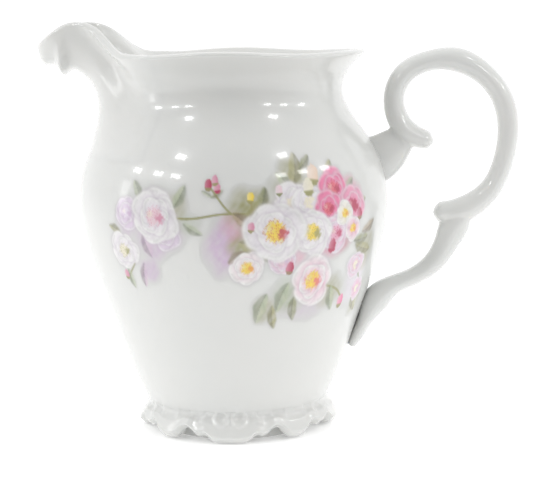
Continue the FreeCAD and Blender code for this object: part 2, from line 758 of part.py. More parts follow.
def enamel_skin():
    """A skin of enamel all over the outside of the wall."""
    inside, outside = wall_curve(), wall_curve(-size("enamel_thickness"))
    low = [curve.value(curve.FirstParameter) for curve in (inside, outside)]
    high = [curve.value(curve.LastParameter) for curve in (inside, outside)]
    edges = [inside.toShape(), Part.LineSegment(high[0], high[1]).toShape(), outside.toShape(),
             Part.LineSegment(low[1], low[0]).toShape()]
    return Part.Face(Part.Wire(edges)).revolve(ORIGIN, UP, FULL_TURN)


def make_transfer(transfer, label, side, skin):
    """The part of the enamel skin inside one outline, on one side of the jug."""
    poles = []
    for place in range(len(TRANSFERS[transfer])):
        across = size("belly_radius") * size("%s_across_share_%02d" % (transfer, place))
        upward = size("belly_height") * size("%s_upward_share_%02d" % (transfer, place))
        poles.append(V(across, 0, upward))
    outline = Part.BSplineCurve()
    outline.buildFromPoles(poles, True, 3)
    cutter = Part.Face(Part.Wire([outline.toShape()])).extrude(V(0, side * FAR, 0))
    return feature(label, skin.common(cutter).Solids[0])


# ---------------------------------------------------------------- build, check and write
parts = [make_body(), make_foot(), make_lip(), make_handle()]
skin = enamel_skin()
for side, word in ((-1, "front"), (1, "back")):
    for transfer in TRANSFERS:
        parts.append(make_transfer(transfer, "%s_%s" % (transfer, word), side, skin))
doc.recompute()
for made in doc.Objects:
    if "Invalid" in made.State or "Error" in made.State:
        raise RuntimeError("%s failed: %s" % (made.Label, made.State))
os.makedirs("parts", exist_ok=True)
for made in parts:
    if made.Shape.isNull() or not made.Shape.isValid():
        raise RuntimeError(made.Label + " has no valid shape")
    if len(made.Shape.Solids) != 1:
        raise RuntimeError("%s has %d solids" % (made.Label, len(made.Shape.Solids)))
    made.Shape.exportStep(os.path.join("parts", made.Label + ".step"))
    print(made.Label, round(made.Shape.Volume, 1), made.Shape.BoundBox)
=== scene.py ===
import bpy
import math
import numpy as np
from mathutils import Matrix, Vector


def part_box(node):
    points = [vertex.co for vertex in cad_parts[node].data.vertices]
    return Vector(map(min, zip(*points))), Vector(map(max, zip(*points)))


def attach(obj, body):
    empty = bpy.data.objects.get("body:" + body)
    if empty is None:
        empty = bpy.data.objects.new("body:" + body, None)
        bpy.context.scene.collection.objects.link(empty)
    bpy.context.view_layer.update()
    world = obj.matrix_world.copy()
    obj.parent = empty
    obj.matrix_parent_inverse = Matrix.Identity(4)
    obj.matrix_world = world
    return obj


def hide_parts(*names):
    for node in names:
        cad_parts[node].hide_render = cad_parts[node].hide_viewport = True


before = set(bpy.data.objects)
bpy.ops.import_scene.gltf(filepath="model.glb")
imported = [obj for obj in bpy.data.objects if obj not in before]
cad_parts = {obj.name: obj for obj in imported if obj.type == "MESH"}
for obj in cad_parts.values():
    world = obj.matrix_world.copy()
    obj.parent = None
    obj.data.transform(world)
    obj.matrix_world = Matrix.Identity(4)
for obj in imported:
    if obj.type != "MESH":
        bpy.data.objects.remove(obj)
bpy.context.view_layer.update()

bl_info = {
    "name": "Porcelain Cream Jug",
    "version": (1, 0, 0),
    "blender": (4, 5, 0),
    "location": "3D Viewport > Sidebar > Cream Jug",
    "description": "Builds a glazed porcelain cream jug with a scalloped foot, fluted lip, scroll handle "
                   "and printed rose sprays",
    "category": "Add Mesh",
}

MM = 0.001
FULL = 2 * math.pi
ROOT = "root"

# ---------------------------------------------------------------- sizes of the casting, in millimetres
FOOT_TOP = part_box("foot")[1].z / MM
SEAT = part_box("spout")[0].z / MM
LIP_REACH = 55.2
WAIST, BELLY, NECK, RIM = (26.5, FOOT_TOP), (45.2, 62.0), (30.7, 95.5), (40.4, 109.2)
FLOOR_THICKNESS = 2.8
WELL_RADIUS = 23.0
LIP_HALF_ANGLE = math.radians(58)
LIP_THROAT = 38.3
LIP_CREST_RISE = 5.9
LIP_TIP_RISE = 1.4
LIP_CHANNEL = 9.4
LIP_DRAW = 0.35
LIP_SHARPNESS = 5
SEAT_BLEND, SIDE_BLEND = 0.25, 0.3
# The lobes under the lip: how many, where they end across it, how they fade out there and below
# the edge, and how narrow they are.
LOBES, LOBE_SIDE, LOBE_FADE, LOBE_EDGE, LOBE_POWER = 1.7, 0.6, 0.45, 0.22, 1.5
RIM_REACH = 37.6
LIP_COLUMNS, WALL_COLUMNS = 151, 209
LOW_ROWS, NECK_ROWS, FLARE_ROWS, CROWN_ROWS, BOWL_ROWS = 70, 16, 46, 8, 50
FOOT_COLUMNS = 900
RIM_SETBACK = 1.2
RIM_THICKNESS_RISE = 0.9

# The wall's outline between its stations: lower and upper station, share of the way out, share of
# the way up, then the way its inner twin is inset.
OUTLINE = (
    (WAIST, BELLY, 0.0, 0.0, 0.88, -0.47), (WAIST, BELLY, 0.240, 0.170, 0.91, -0.41),
    (WAIST, BELLY, 0.476, 0.434, 0.94, -0.34), (WAIST, BELLY, 0.786, 0.717, 0.95, -0.32),
    (WAIST, BELLY, 1.0, 1.0, 1.0, -0.06), (BELLY, NECK, 0.138, 0.478, 0.94, 0.36),
    (BELLY, NECK, 0.717, 0.776, 0.82, 0.60), (BELLY, NECK, 1.0, 1.0, 1.05, 0.12),
    (NECK, RIM, 0.216, 0.474, 0.92, -0.42), (NECK, RIM, 0.567, 0.679, 0.72, -0.69),
    (NECK, RIM, 1.0, 1.0, 0.72, -0.69),
)
# The rim's edge from the side: reach towards the handle, and depth below the full rim height.
RIM_WAVE = ((-30.7, 2.0), (-18.8, 2.0), (-8.2, 1.0), (5.9, 1.0), (23.5, 2.6), (36.4, 1.3), (44.4, 1.3))
# The keel under the lip and the lip's edge, as shares: see Lip.
KEEL = ((0.080, 0.142), (-0.030, 0.364), (-0.010, 0.600), (0.250, 0.780), (0.620, 0.830),
        (0.970, 0.860), (1.0, 1.0))
LIP_EDGE = ((1.0, 0.0, 0.22), (0.998, 0.34, 0.28), (0.955, 0.78, 0.52), (0.845, 1.05, 1.22),
            (0.752, 1.13, 1.36), (0.670, 1.36, 0.90), (0.594, 1.92, 0.12), (0.523, 2.60, -0.36))


# ---------------------------------------------------------------- curves
def spline(poles, u):
    """Cubic B-spline with clamped ends and even knots: each basis function is built up from the
    step functions by the usual recursion, and the curve is their sum weighted by the poles."""
    poles = np.asarray(poles, float)
    count, degree = len(poles), 3
    inner = np.linspace(0, 1, count - degree + 1)
    knots = np.concatenate([np.zeros(degree), inner, np.ones(degree)])
    u = np.clip(np.asarray(u, float), 0, 1 - 1e-12)
    basis = [((knots[k] <= u) & (u < knots[k + 1])).astype(float) for k in range(len(knots) - 1)]
    for order in range(1, degree + 1):
        raised = []
        for k in range(len(knots) - order - 1):
            left, right = knots[k + order] - knots[k], knots[k + order + 1] - knots[k + 1]
            term = (u - knots[k]) / left * basis[k] if left else 0
            term = term + ((knots[k + order + 1] - u) / right * basis[k + 1] if right else 0)
            raised.append(term)
        basis = raised
    weights = np.stack([np.broadcast_to(b, u.shape) for b in basis], -1)
    return weights @ poles


def smooth_through(points, u):
    """Natural cubic through the points: the bends at the points solve one tridiagonal system."""
    points = np.asarray(points, float)
    spacing = np.linalg.norm(np.diff(points[:, :2], axis=0), axis=1)
    place = np.concatenate([[0], np.cumsum(spacing)])
    place /= place[-1]
    gap = np.diff(place)
    count = len(points)
    system, known = np.eye(count), np.zeros_like(points)
    for k in range(1, count - 1):
        system[k, k - 1:k + 2] = gap[k - 1], 2 * (gap[k - 1] + gap[k]), gap[k]
        known[k] = 6 * ((points[k + 1] - points[k]) / gap[k] - (points[k] - points[k - 1]) / gap[k - 1])
    bend = np.linalg.solve(system, known)
    k = np.clip(np.searchsorted(place, u, side="right") - 1, 0, count - 2)
    a, b, step = (place[k + 1] - u)[:, None], (u - place[k])[:, None], gap[k][:, None]
    return (bend[k] * a ** 3 + bend[k + 1] * b ** 3) / (6 * step) \
        + (points[k] / step - bend[k] * step / 6) * a + (points[k + 1] / step - bend[k + 1] * step / 6) * b


def ease(x):
    """Smooth step from 0 to 1: three x squared less two x cubed."""
    x = np.clip(x, 0, 1)
    return x * x * (3 - 2 * x)


def ridge(distance, width):
    """Bell-shaped ridge across a line."""
    return np.exp(-(distance / width) ** 2)


def outline_poles(inset):
    poles = []
    for low, high, out, up, inset_out, inset_up in OUTLINE:
        poles.append((low[0] + (high[0] - low[0]) * out - inset * inset_out,
                      low[1] + (high[1] - low[1]) * up - inset * inset_up))
    return poles


class Profile:
    """Radius of the turned wall at a height, outside and inside."""

    def __init__(self, wall):
        u = np.linspace(0, 1, 4001)
        self.outside = spline(outline_poles(0), u)
        inner = outline_poles(wall)
        floor = FOOT_TOP + FLOOR_THICKNESS
        inner[:2] = [(0, floor), (WELL_RADIUS, floor)]
        self.inside = spline(inner, u)

    def outer(self, z):
        return np.interp(z, self.outside[:, 1], self.outside[:, 0])

    def inner(self, z):
        return np.interp(z, self.inside[:, 1], self.inside[:, 0])


def around(radius, angle, height):
    """Point at an angle from the lip's side of the jug, turning from -X towards +Y."""
    return np.stack(np.broadcast_arrays(-radius * np.cos(angle), radius * np.sin(angle), height), -1)


def rim_height(angle):
    """Height of the waved rim at an angle from the lip."""
    u = np.linspace(0, 1, 801)
    wave = spline(RIM_WAVE, u)
    return RIM[1] - np.interp(-RIM_REACH * np.cos(angle), wave[:, 0], wave[:, 1])


# ---------------------------------------------------------------- the lip
class Lip:
    """The moulded lip's outer surface over s (0 at its seat, 1 at its edge) and t (0 at the keel,
    1 at either side). Wall and keel are blended by the fifth power of a cosine of t, then the top
    is drawn over to the lip's edge, in radius, angle and height, by an easing of s."""

    def __init__(self, profile, wall, flute_depth, flute_pitch):
        self.profile, self.wall = profile, wall
        self.depth, self.pitch = flute_depth, flute_pitch
        self.side_height = float(rim_height(np.array(LIP_HALF_ANGLE))) - RIM_SETBACK
        throat, tip = LIP_THROAT, RIM[1] + LIP_TIP_RISE - RIM_SETBACK
        self.keel = [(float(profile.outer(SEAT)), SEAT)]
        self.keel += [(throat + (LIP_REACH - throat) * out, SEAT + (tip - SEAT) * up) for out, up in KEEL]
        self.edge = [(-LIP_REACH * out, LIP_CHANNEL * side, RIM[1] - RIM_SETBACK + LIP_CREST_RISE * rise)
                     for out, side, rise in LIP_EDGE]
        radius = float(profile.outer(self.side_height))
        side = around(radius, LIP_HALF_ANGLE, self.side_height)
        spans = len(LIP_EDGE)
        step = radius * LIP_HALF_ANGLE / (3 * spans)
        tangent = np.array((math.sin(LIP_HALF_ANGLE), math.cos(LIP_HALF_ANGLE), 0)) * step
        self.edge += [tuple(side - 3 * tangent), tuple(side - tangent), tuple(side)]

    def plain(self, s, t):
        hand, t = np.where(t < 0, -1.0, 1.0), np.abs(t)
        height = SEAT + (self.side_height - SEAT) * s
        share = np.cos(math.pi / 2 * t) ** LIP_SHARPNESS

        def blend(radius, height, middle):
            return radius + (middle[..., 0] - radius) * share, height + (middle[..., 1] - height) * share

        top = blend(self.profile.outer(self.side_height), self.side_height,
                    spline(self.keel, np.ones_like(s)))
        low = blend(self.profile.outer(height), height, spline(self.keel, s))
        edge = spline(self.edge, t)
        drawn = ease((s - LIP_DRAW) / (1 - LIP_DRAW))
        radius = low[0] + (np.hypot(edge[..., 0], edge[..., 1]) - top[0]) * drawn
        turn = LIP_HALF_ANGLE * t
        turn = turn + (np.arctan2(edge[..., 1], -edge[..., 0]) - turn) * drawn
        return around(radius, hand * turn, low[1] + (edge[..., 2] - top[1]) * drawn)

    def normal(self, s, t):
        """Outward unit normal, from central differences of the plain surface."""
        small = 1e-3
        s, t = np.clip(s, small, 1 - small), np.clip(t, small - 1, 1 - small)
        along = self.plain(s + small, t) - self.plain(s - small, t)
        across = self.plain(s, t + small) - self.plain(s, t - small)
        normal = np.cross(along, across)
        return normal / np.linalg.norm(normal, axis=-1, keepdims=True)

    def flutes(self, point, s, t):
        """Lobes that hang under the lip: a raised cosine of the reach, faded in beyond the throat,
        out towards the sides and out below the edge."""
        out = -point[..., 0]
        first = LIP_REACH - LOBES * self.pitch
        window = np.clip((out - first) / (self.pitch / 2), 0, 1)
        window = window * ease((LOBE_SIDE - np.abs(t)) / LOBE_FADE)
        lobes = (0.5 - 0.5 * np.cos(FULL * (out - first) / self.pitch)) ** LOBE_POWER
        return self.depth * window * lobes * ease((1 - s) / LOBE_EDGE)

    def outside(self, s, t):
        point = self.plain(s, t)
        return point + self.normal(s, t) * self.flutes(point, s, t)[..., None]

    def inside(self, s, t):
        """The plain lip moved in by the wall, eased into the turned wall at the seat and the sides."""
        height = SEAT + (self.side_height + RIM_THICKNESS_RISE - SEAT) * s
        turned = around(self.profile.inner(height), LIP_HALF_ANGLE * t, height)
        moved = self.plain(s, t) - self.normal(s, t) * self.wall
        share = np.clip(s / SEAT_BLEND, 0, 1) * np.clip((1 - np.abs(t)) / SIDE_BLEND, 0, 1)
        return turned + (moved - turned) * share[..., None]


# ---------------------------------------------------------------- meshes
def quads(rows, columns, close_rows=False, close_columns=False):
    """Corner numbers of the quads between neighbouring rows and columns of a grid."""
    down = rows if close_rows else rows - 1
    over = columns if close_columns else columns - 1
    r, c = np.meshgrid(np.arange(down), np.arange(over), indexing="ij")
    here, below = r * columns, ((r + 1) % rows) * columns
    return np.stack([here + c, below + c, below + (c + 1) % columns, here + (c + 1) % columns],
                    -1).reshape(-1, 4)


def fan(ring, tip):
    """Triangles from a closed ring of points to one tip, written as quads that repeat the tip."""
    tips = np.full(len(ring), tip)
    return np.stack([ring, tips, tips, np.roll(ring, -1)], -1)


def face_normals(points, faces):
    """Each face's area normal: half the cross product of its diagonals."""
    corner = points[faces]
    return np.cross(corner[:, 2] - corner[:, 0], corner[:, 3] - corner[:, 1]) / 2


def point_normals(points, faces):
    """Unit normals at the points: the sum of the area normals of the faces around each."""
    total = np.zeros_like(points)
    normal = face_normals(points, faces)
    for corner in range(4):
        np.add.at(total, faces[:, corner], normal)
    length = np.linalg.norm(total, axis=1, keepdims=True)
    return total / np.where(length > 0, length, 1)


def turned_towards(points, faces, direction):
    """The faces, each wound so that its normal has a positive share of the direction."""
    direction = np.broadcast_to(direction, (len(faces), 3))
    wrong = np.einsum("ij,ij->i", face_normals(points, faces), direction) < 0
    return np.where(wrong[:, None], faces[:, ::-1], faces)


def make_piece(name, points, skin, normals=None, joints=None):
    """A smooth mesh object from points in millimetres. The skin's faces take the given point
    normals, and the joint faces, where it touches its neighbour, are flat."""
    faces = skin if joints is None else np.concatenate([skin, joints])
    used, inverse = np.unique(faces, return_inverse=True)
    local = inverse.reshape(faces.shape)
    corners = [list(dict.fromkeys(face)) for face in local.tolist()]
    mesh = bpy.data.meshes.new(name)
    mesh.from_pydata((points[used] * MM).tolist(), [], corners)
    mesh.polygons.foreach_set("use_smooth", np.ones(len(mesh.polygons), bool))
    mesh.update()
    if normals is not None:
        flat = face_normals(points, faces)
        flat /= np.maximum(np.linalg.norm(flat, axis=1, keepdims=True), 1e-12)
        size = np.array([len(corner) for corner in corners])
        owner = np.repeat(np.arange(len(faces)), size)
        vertex = used[np.concatenate([np.array(corner) for corner in corners])]
        loops = np.where((owner < len(skin))[:, None], normals[vertex], flat[owner])
        mesh.normals_split_custom_set(loops.tolist())
    made = bpy.data.objects.new(name, mesh)
    bpy.context.scene.collection.objects.link(made)
    return made


def finish_piece(piece, material, slot, *nodes):
    """Gives a piece its glaze, seats it on the jug and stands it in for its CAD nodes."""
    piece.data.materials.append(material)
    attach(piece, ROOT)
    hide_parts(*nodes)
    return piece


# ---------------------------------------------------------------- wall and lip
def foot_relief(angle, height, depth):
    """Raised scrollwork around the foot, as a radial height over angle from the front and height:
    two C-scrolls back to back on each large lobe, a bead along the hem of every lobe, and a small
    scroll above each corner lobe."""
    quarter = np.abs((angle + math.pi / 2) % math.pi - math.pi / 2)
    across = np.degrees(quarter)
    reach = across * math.radians(1) * WAIST[0] * 1.06
    curl = np.abs(np.hypot(reach - 2.7, height - 7.4) - 1.75)
    raised = ridge(curl, 0.75) * ease((12.4 - across) / 2)
    tail = np.abs(height - (8.6 - 0.16 * (reach - 5.0) ** 2))
    tail = 0.6 * ridge(tail, 0.7) * ease(reach - 3.6) * ease((9.6 - reach) / 1.5)
    raised = np.maximum(raised, tail)
    for centre, half, crown in ((21.0, 5.5, 8.6), (41.5, 8.5, 8.9), (61.0, 6.0, 8.6)):
        side = (across - centre) / half
        arc = np.abs(height - (crown - 1.5 * side ** 2)) / (1 + 1.2 * np.abs(side))
        raised = np.maximum(raised, 0.5 * ridge(arc, 0.75) * ease((1.05 - np.abs(side)) / 0.25))
        eye = np.hypot((np.abs(side) - 0.8) * half * 0.49, height - crown + 1.9)
        raised = np.maximum(raised, 0.7 * ridge(eye, 0.95))
    return depth * raised


def stacked(lip_surface, s, t, radius_of, angle, top):
    """Rows of one skin from the seat up to the edge: lip columns first, then turned columns."""
    height = SEAT + (top - SEAT)[None, :] * s[:, None]
    turned = around(radius_of(height), angle[None, :], height)
    grid_s, grid_t = np.meshgrid(s, t, indexing="ij")
    return np.concatenate([lip_surface(grid_s, grid_t), turned], 1)


def bowl_rows(profile, angles, count):
    """Rows of the inside below the seat, evenly spaced along its curve, down to the middle."""
    curve = profile.inside[np.searchsorted(profile.inside[:, 1], SEAT)::-1]
    along = np.concatenate([[0], np.cumsum(np.linalg.norm(np.diff(curve, axis=0), axis=1))])
    steps = np.linspace(0, along[-1], count + 1)[:-1]
    radius, height = (np.interp(steps, along, curve[:, k]) for k in (0, 1))
    return around(radius[:, None], angles[None, :], height[:, None])


def wall_and_lip(settings):
    """The wall is the outline turned about the axis, and the lip is let into it. Both come from
    one grid that runs up the outside, over the rounded rim and down the inside, so their skins
    meet without a step; each is then closed where they touch."""
    profile = Profile(settings.wall)
    lip = Lip(profile, settings.wall, settings.flute_depth, settings.flute_pitch)
    t = np.linspace(-1, 1, LIP_COLUMNS)
    angle = np.linspace(LIP_HALF_ANGLE, FULL - LIP_HALF_ANGLE, WALL_COLUMNS + 2)[1:-1]
    angles = np.concatenate([LIP_HALF_ANGLE * t, angle])
    count = len(angles)
    edge_height = rim_height(angle) - RIM_SETBACK

    low = FOOT_TOP + (SEAT - FOOT_TOP) * np.linspace(0, 1, LOW_ROWS)[:, None]
    front = angles[None, :] - math.pi / 2
    below = around(profile.outer(low) + foot_relief(front, low, settings.relief), angles[None, :], low)
    s = np.concatenate([np.linspace(0, 0.5, NECK_ROWS), np.linspace(0.5, 1, FLARE_ROWS)[1:]])[1:]
    high = stacked(lip.outside, s, t, profile.outer, angle, edge_height)
    inside = stacked(lip.inside, s[::-1], t, profile.inner, angle, edge_height + RIM_THICKNESS_RISE)
    turns = np.linspace(0, math.pi, CROWN_ROWS + 2)[1:-1, None, None]
    middle, reach = (high[-1] + inside[0]) / 2, (high[-1] - inside[0]) / 2
    rise = high[-1] - high[-2]
    rise *= settings.rim_round / np.linalg.norm(rise, axis=-1, keepdims=True)
    crown = middle + reach * np.cos(turns) + rise * np.sin(turns)
    bowl = bowl_rows(profile, angles, BOWL_ROWS)

    grid = np.concatenate([below, high, crown, inside, bowl])
    rows = len(grid)
    points = np.concatenate([grid.reshape(-1, 3), [(0, 0, FOOT_TOP + FLOOR_THICKNESS), (0, 0, FOOT_TOP)]])
    skin = quads(rows, count, close_columns=True)
    first, last = np.arange(count), np.arange(count) + (rows - 1) * count
    bottom = turned_towards(points, fan(first, rows * count + 1), (0, 0, -1))
    well = turned_towards(points, fan(last, rows * count), (0, 0, 1))
    seat_row = len(below) - 1
    inner_row = rows - len(bowl)
    row = skin.min(1) // count
    in_lip = (skin % count < LIP_COLUMNS).all(1) & (row >= seat_row) & (row < inner_row)
    lip_skin, wall_skin = skin[in_lip], np.concatenate([skin[~in_lip], well])
    normals = point_normals(points, np.concatenate([skin, well]))
    joints = np.concatenate(list(joint_faces(points, count, seat_row, inner_row)))
    bottom_and_joints = np.concatenate([bottom, joints[:, ::-1]])
    wall = make_piece("jug_wall", points, wall_skin, normals, bottom_and_joints)
    return wall, make_piece("jug_lip", points, lip_skin, normals, joints)


def joint_faces(points, count, seat_row, inner_row):
    """Quads that close the lip where it touches the wall: both upright sides, and the seat."""
    up = np.arange((inner_row - seat_row) // 2)
    for column, hand in ((0, -1), (LIP_COLUMNS - 1, 1)):
        outer, inner = (seat_row + up) * count + column, (inner_row - up) * count + column
        side = np.stack([outer, outer + count, inner - count, inner], -1)
        turn = hand * LIP_HALF_ANGLE
        yield turned_towards(points, side, (hand * math.sin(turn), hand * math.cos(turn), 0))
    across = np.arange(LIP_COLUMNS - 1)
    outer, inner = seat_row * count + across, inner_row * count + across
    yield turned_towards(points, np.stack([outer, outer + 1, inner + 1, inner], -1), (0, 0, -1))


# ---------------------------------------------------------------- foot
# Height of the skirt's hem round one quarter: angle from the front in degrees, and height.
HEM = ((0, 0.35), (8, 0.40), (12, 1.0), (14.8, 2.7), (18, 1.9), (21.5, 2.1), (24.5, 3.6), (28.5, 4.2),
       (31.5, 3.0), (35, 0.8), (44, 0.5), (48, 1.4), (51, 3.5), (54, 3.9), (57, 2.6), (61, 1.9),
       (65, 2.5), (68, 3.7), (72, 3.2), (76, 1.0), (82, 0.4), (90, 0.35))
SKIRT_RADIUS = 28.5
SKIRT_WALL = 2.4
RING = (19.4, 22.4)
GROOVE_TOP = 4.6
HEM_SOFTNESS = 21
HEM_DEEPEST, LOBE_RISE = 4.2, 3.8
SKIRT_ROWS = 44
# How far the skirt swells at its lobes, sinks between them, and rolls in at the hem.
LOBE_SWELL, GAP_SINK, HEM_ROLL = 1.1, 0.75, 1.3


def hem_height(angle):
    """Height of the scalloped hem, the same in each quarter."""
    across = np.degrees(np.abs((angle + math.pi / 2) % math.pi - math.pi / 2))
    place, height = np.array(HEM).T
    return np.interp(across, place, height)


def make_foot(settings):
    """The skirt's outline at each angle: down the swelling outside to the hem, under it, up the
    inside to the groove, down and round the standing ring, and up to the underside of the floor."""
    angle = np.linspace(0, FULL, FOOT_COLUMNS, endpoint=False)[None, :]
    hem = hem_height(angle)
    kernel = np.hanning(HEM_SOFTNESS)
    softened = np.convolve(np.tile(hem[0], 3), kernel / kernel.sum(), "same")
    hem = softened[FOOT_COLUMNS:2 * FOOT_COLUMNS][None]
    lobe = np.clip((HEM_DEEPEST - hem) / LOBE_RISE, 0, 1)
    u = np.linspace(0, 1, SKIRT_ROWS)[:, None]
    height = FOOT_TOP + (hem - FOOT_TOP) * u
    swell = SKIRT_RADIUS - WAIST[0]
    radius = WAIST[0] + swell * ease(u * 1.25) - 0.55 * np.sin(math.pi * np.clip(u * 2.4, 0, 1))
    swing = (LOBE_SWELL * lobe - GAP_SINK) * np.sin(math.pi / 2 * u) ** 2 * 0.9
    radius = radius + swing - HEM_ROLL * ridge(u - 1, 0.15)
    radius = radius + foot_relief(angle, height, settings.relief) * ease((1 - u) / 0.25)
    border = ridge(height - hem - 1.5, 0.8) * settings.relief * 0.6
    outside = np.stack([radius + border, height + 0 * radius], -1)
    under_radius = np.linspace(radius[-1] - 0.35, radius[-1] - SKIRT_WALL, 6)
    under = np.stack([under_radius, hem + 0.12 * np.array([0, -0.8, -1, -1, -0.5, 0.6])[:, None]], -1)
    inside = SKIRT_RADIUS - SKIRT_WALL
    corners = [(inside - 1.0, GROOVE_TOP - 0.6), (inside - 1.6, GROOVE_TOP), (RING[1] + 0.5, GROOVE_TOP),
               (RING[1], GROOVE_TOP - 0.5), (RING[1], 0.9), (RING[1] - 0.3, 0.3), (RING[1] - 0.9, 0),
               (RING[0] + 0.9, 0), (RING[0] + 0.3, 0.3), (RING[0], 0.9), (RING[0], FOOT_TOP - 1.2),
               (RING[0] - 0.4, FOOT_TOP - 0.3), (RING[0] - 1.2, FOOT_TOP)]
    rest = np.broadcast_to(np.array(corners)[:, None, :], (len(corners), FOOT_COLUMNS, 2))
    top = np.stack([np.full((1, FOOT_COLUMNS), WAIST[0] - 2), np.full((1, FOOT_COLUMNS), FOOT_TOP)], -1)
    profile = np.concatenate([outside, under, rest, top])
    out, up = profile[..., 0], profile[..., 1]
    points = np.stack([out * np.sin(angle), -out * np.cos(angle), up], -1)
    skin = quads(len(points), FOOT_COLUMNS, close_rows=True, close_columns=True)
    points = points.reshape(-1, 3)
    centre = points[skin[0]].mean(0)
    if np.dot(face_normals(points, skin[:1])[0], (centre[0], centre[1], 0)) < 0:
        skin = skin[:, ::-1]
    return make_piece("jug_foot", points, skin)


# ---------------------------------------------------------------- handle
# Each bar of the handle, end to end: reach, height, half thickness, half depth from side to side.
SCROLL = ((57.3, 81.1, 0.5, 0.8), (56.3, 81.3, 1.9, 2.7), (54.4, 81.9, 2.7, 3.8), (50.6, 83.6, 3.1, 4.4),
          (47.3, 87.8, 3.0, 4.2), (46.2, 94.0, 2.8, 3.8), (49.3, 100.6, 2.9, 3.8), (56.4, 104.1, 2.8, 3.8),
          (64.0, 104.2, 3.3, 4.0), (71.3, 100.4, 3.0, 3.8), (76.7, 93.4, 2.9, 3.8), (78.5, 85.0, 2.9, 3.8),
          (77.3, 76.0, 2.8, 3.8), (73.6, 67.6, 3.0, 3.8), (68.3, 62.9, 3.5, 4.2), (63.4, 61.0, 3.5, 4.4),
          (60.0, 60.9, 3.0, 4.2), (58.0, 60.9, 1.9, 3.0), (57.2, 60.9, 0.5, 0.8))
STEM = ((66.2, 61.0, 2.6, 3.7), (63.8, 57.9, 4.1, 4.4), (61.4, 53.0, 3.7, 4.1), (57.4, 46.6, 3.0, 3.9),
        (50.6, 42.0, 2.5, 3.9), (45.4, 39.7, 2.9, 4.6), (40.6, 35.6, 3.9, 5.75), (37.4, 30.2, 2.6, 6.0),
        (35.0, 25.6, 2.1, 5.1), (33.2, 22.4, 1.3, 2.8))
STRUT = ((38.0, 75.4, 7.6, 4.1), (41.9, 76.8, 6.8, 3.4), (46.4, 80.3, 5.2, 3.1), (49.6, 83.0, 3.4, 2.4))
BAR_SIDES = 40
CREST_WIDTH = 0.35
HANDLE_ROOT = 1.0


def bar(sections, stations, crest):
    """An oval carried along a smooth line through the sections; its outer side rises to a soft
    crest. Returns the points and the closed skin, with a tip at each end."""
    u = np.linspace(0, 1, stations)
    line = smooth_through(sections, u)
    along = np.gradient(line[:, :2], axis=0)
    along /= np.linalg.norm(along, axis=1, keepdims=True)
    turn = np.linspace(0, FULL, BAR_SIDES, endpoint=False)[None, :]
    crested = ridge((turn + math.pi / 2) % math.pi - math.pi / 2, CREST_WIDTH)
    half = line[:, 2:3] + crest * crested * np.clip(line[:, 2:3] - 1, 0, 1)
    out, side = half * np.cos(turn), line[:, 3:4] * np.sin(turn)
    points = np.stack([line[:, 0:1] + along[:, 1:2] * out, side, line[:, 1:2] - along[:, 0:1] * out], -1)
    skin = quads(stations, BAR_SIDES, close_columns=True)
    count = stations * BAR_SIDES
    tips = np.stack([points[0].mean(0), points[-1].mean(0)])
    points = np.concatenate([points.reshape(-1, 3), tips])
    first = np.arange(BAR_SIDES)
    skin = np.concatenate([skin, fan(first[::-1], count), fan(first + count - BAR_SIDES, count + 1)])
    return points, skin


def make_handle(settings):
    """Scroll, stem and strut, melted into one casting by a fine voxel remesh and a smoothing. Their
    ends are moved out to lie within the wall's thickness."""
    all_points, all_skin, start = [], [], 0
    for sections, stations, crest in ((SCROLL, 220, settings.handle_crest), (STEM, 120, 0), (STRUT, 40, 0)):
        points, skin = bar(sections, stations, crest)
        all_points.append(points)
        all_skin.append(skin + start)
        start += len(points)
    points = np.concatenate(all_points)
    least = Profile(0.0).outer(points[:, 2]) - HANDLE_ROOT
    away = np.hypot(points[:, 0], points[:, 1])
    points[:, :2] *= np.maximum(1, least / away)[:, None]
    piece = make_piece("jug_handle", points, np.concatenate(all_skin))
    melt = piece.modifiers.new("melt", "REMESH")
    melt.mode = "VOXEL"
    melt.voxel_size = settings.handle_grain * MM
    melt.use_smooth_shade = True
    soften = piece.modifiers.new("soften", "SMOOTH")
    soften.factor = 0.5
    soften.iterations = 8
    return piece


# ---------------------------------------------------------------- the transfers
# Everything is placed by distance round the jug from its front, towards the handle, and by height,
# in millimetres. The paint is laid on from the back to the front.
GIRTH = 45.0
FILM_STEP = 0.28
FILM_SPAN = (-38.0, 60.0, 30.0, 84.0)
FILM_RISE = 0.09
BARE = 0.03
# Where one transfer ends and the next begins, across the jug: the buds' side, and the spray's side
# at several heights.
BUDS_SIDE = -9.35
SPRAY_SIDE = ((60, 68.5, 73, 77), (-5.9, -5.6, -1.0, -1.6))
WHITE, CREAM, BLUSH, PEACH = (0.95, 0.945, 0.94), (0.95, 0.92, 0.82), (0.94, 0.83, 0.86), (0.94, 0.83, 0.74)
ROSE, CRIMSON, MAUVE, LILAC = (0.86, 0.55, 0.66), (0.72, 0.20, 0.34), (0.81, 0.70, 0.82), (0.90, 0.86, 0.91)
OLIVE, MOSS, LEAF, UMBER = (0.60, 0.59, 0.38), (0.52, 0.54, 0.37), (0.67, 0.72, 0.60), (0.60, 0.51, 0.38)
YELLOW, ORANGE, SHADOW = (0.97, 0.84, 0.28), (0.92, 0.58, 0.22), (0.76, 0.72, 0.76)
HOT, CORAL, PINK = (0.93, 0.50, 0.66), (0.90, 0.42, 0.48), (0.92, 0.66, 0.76)

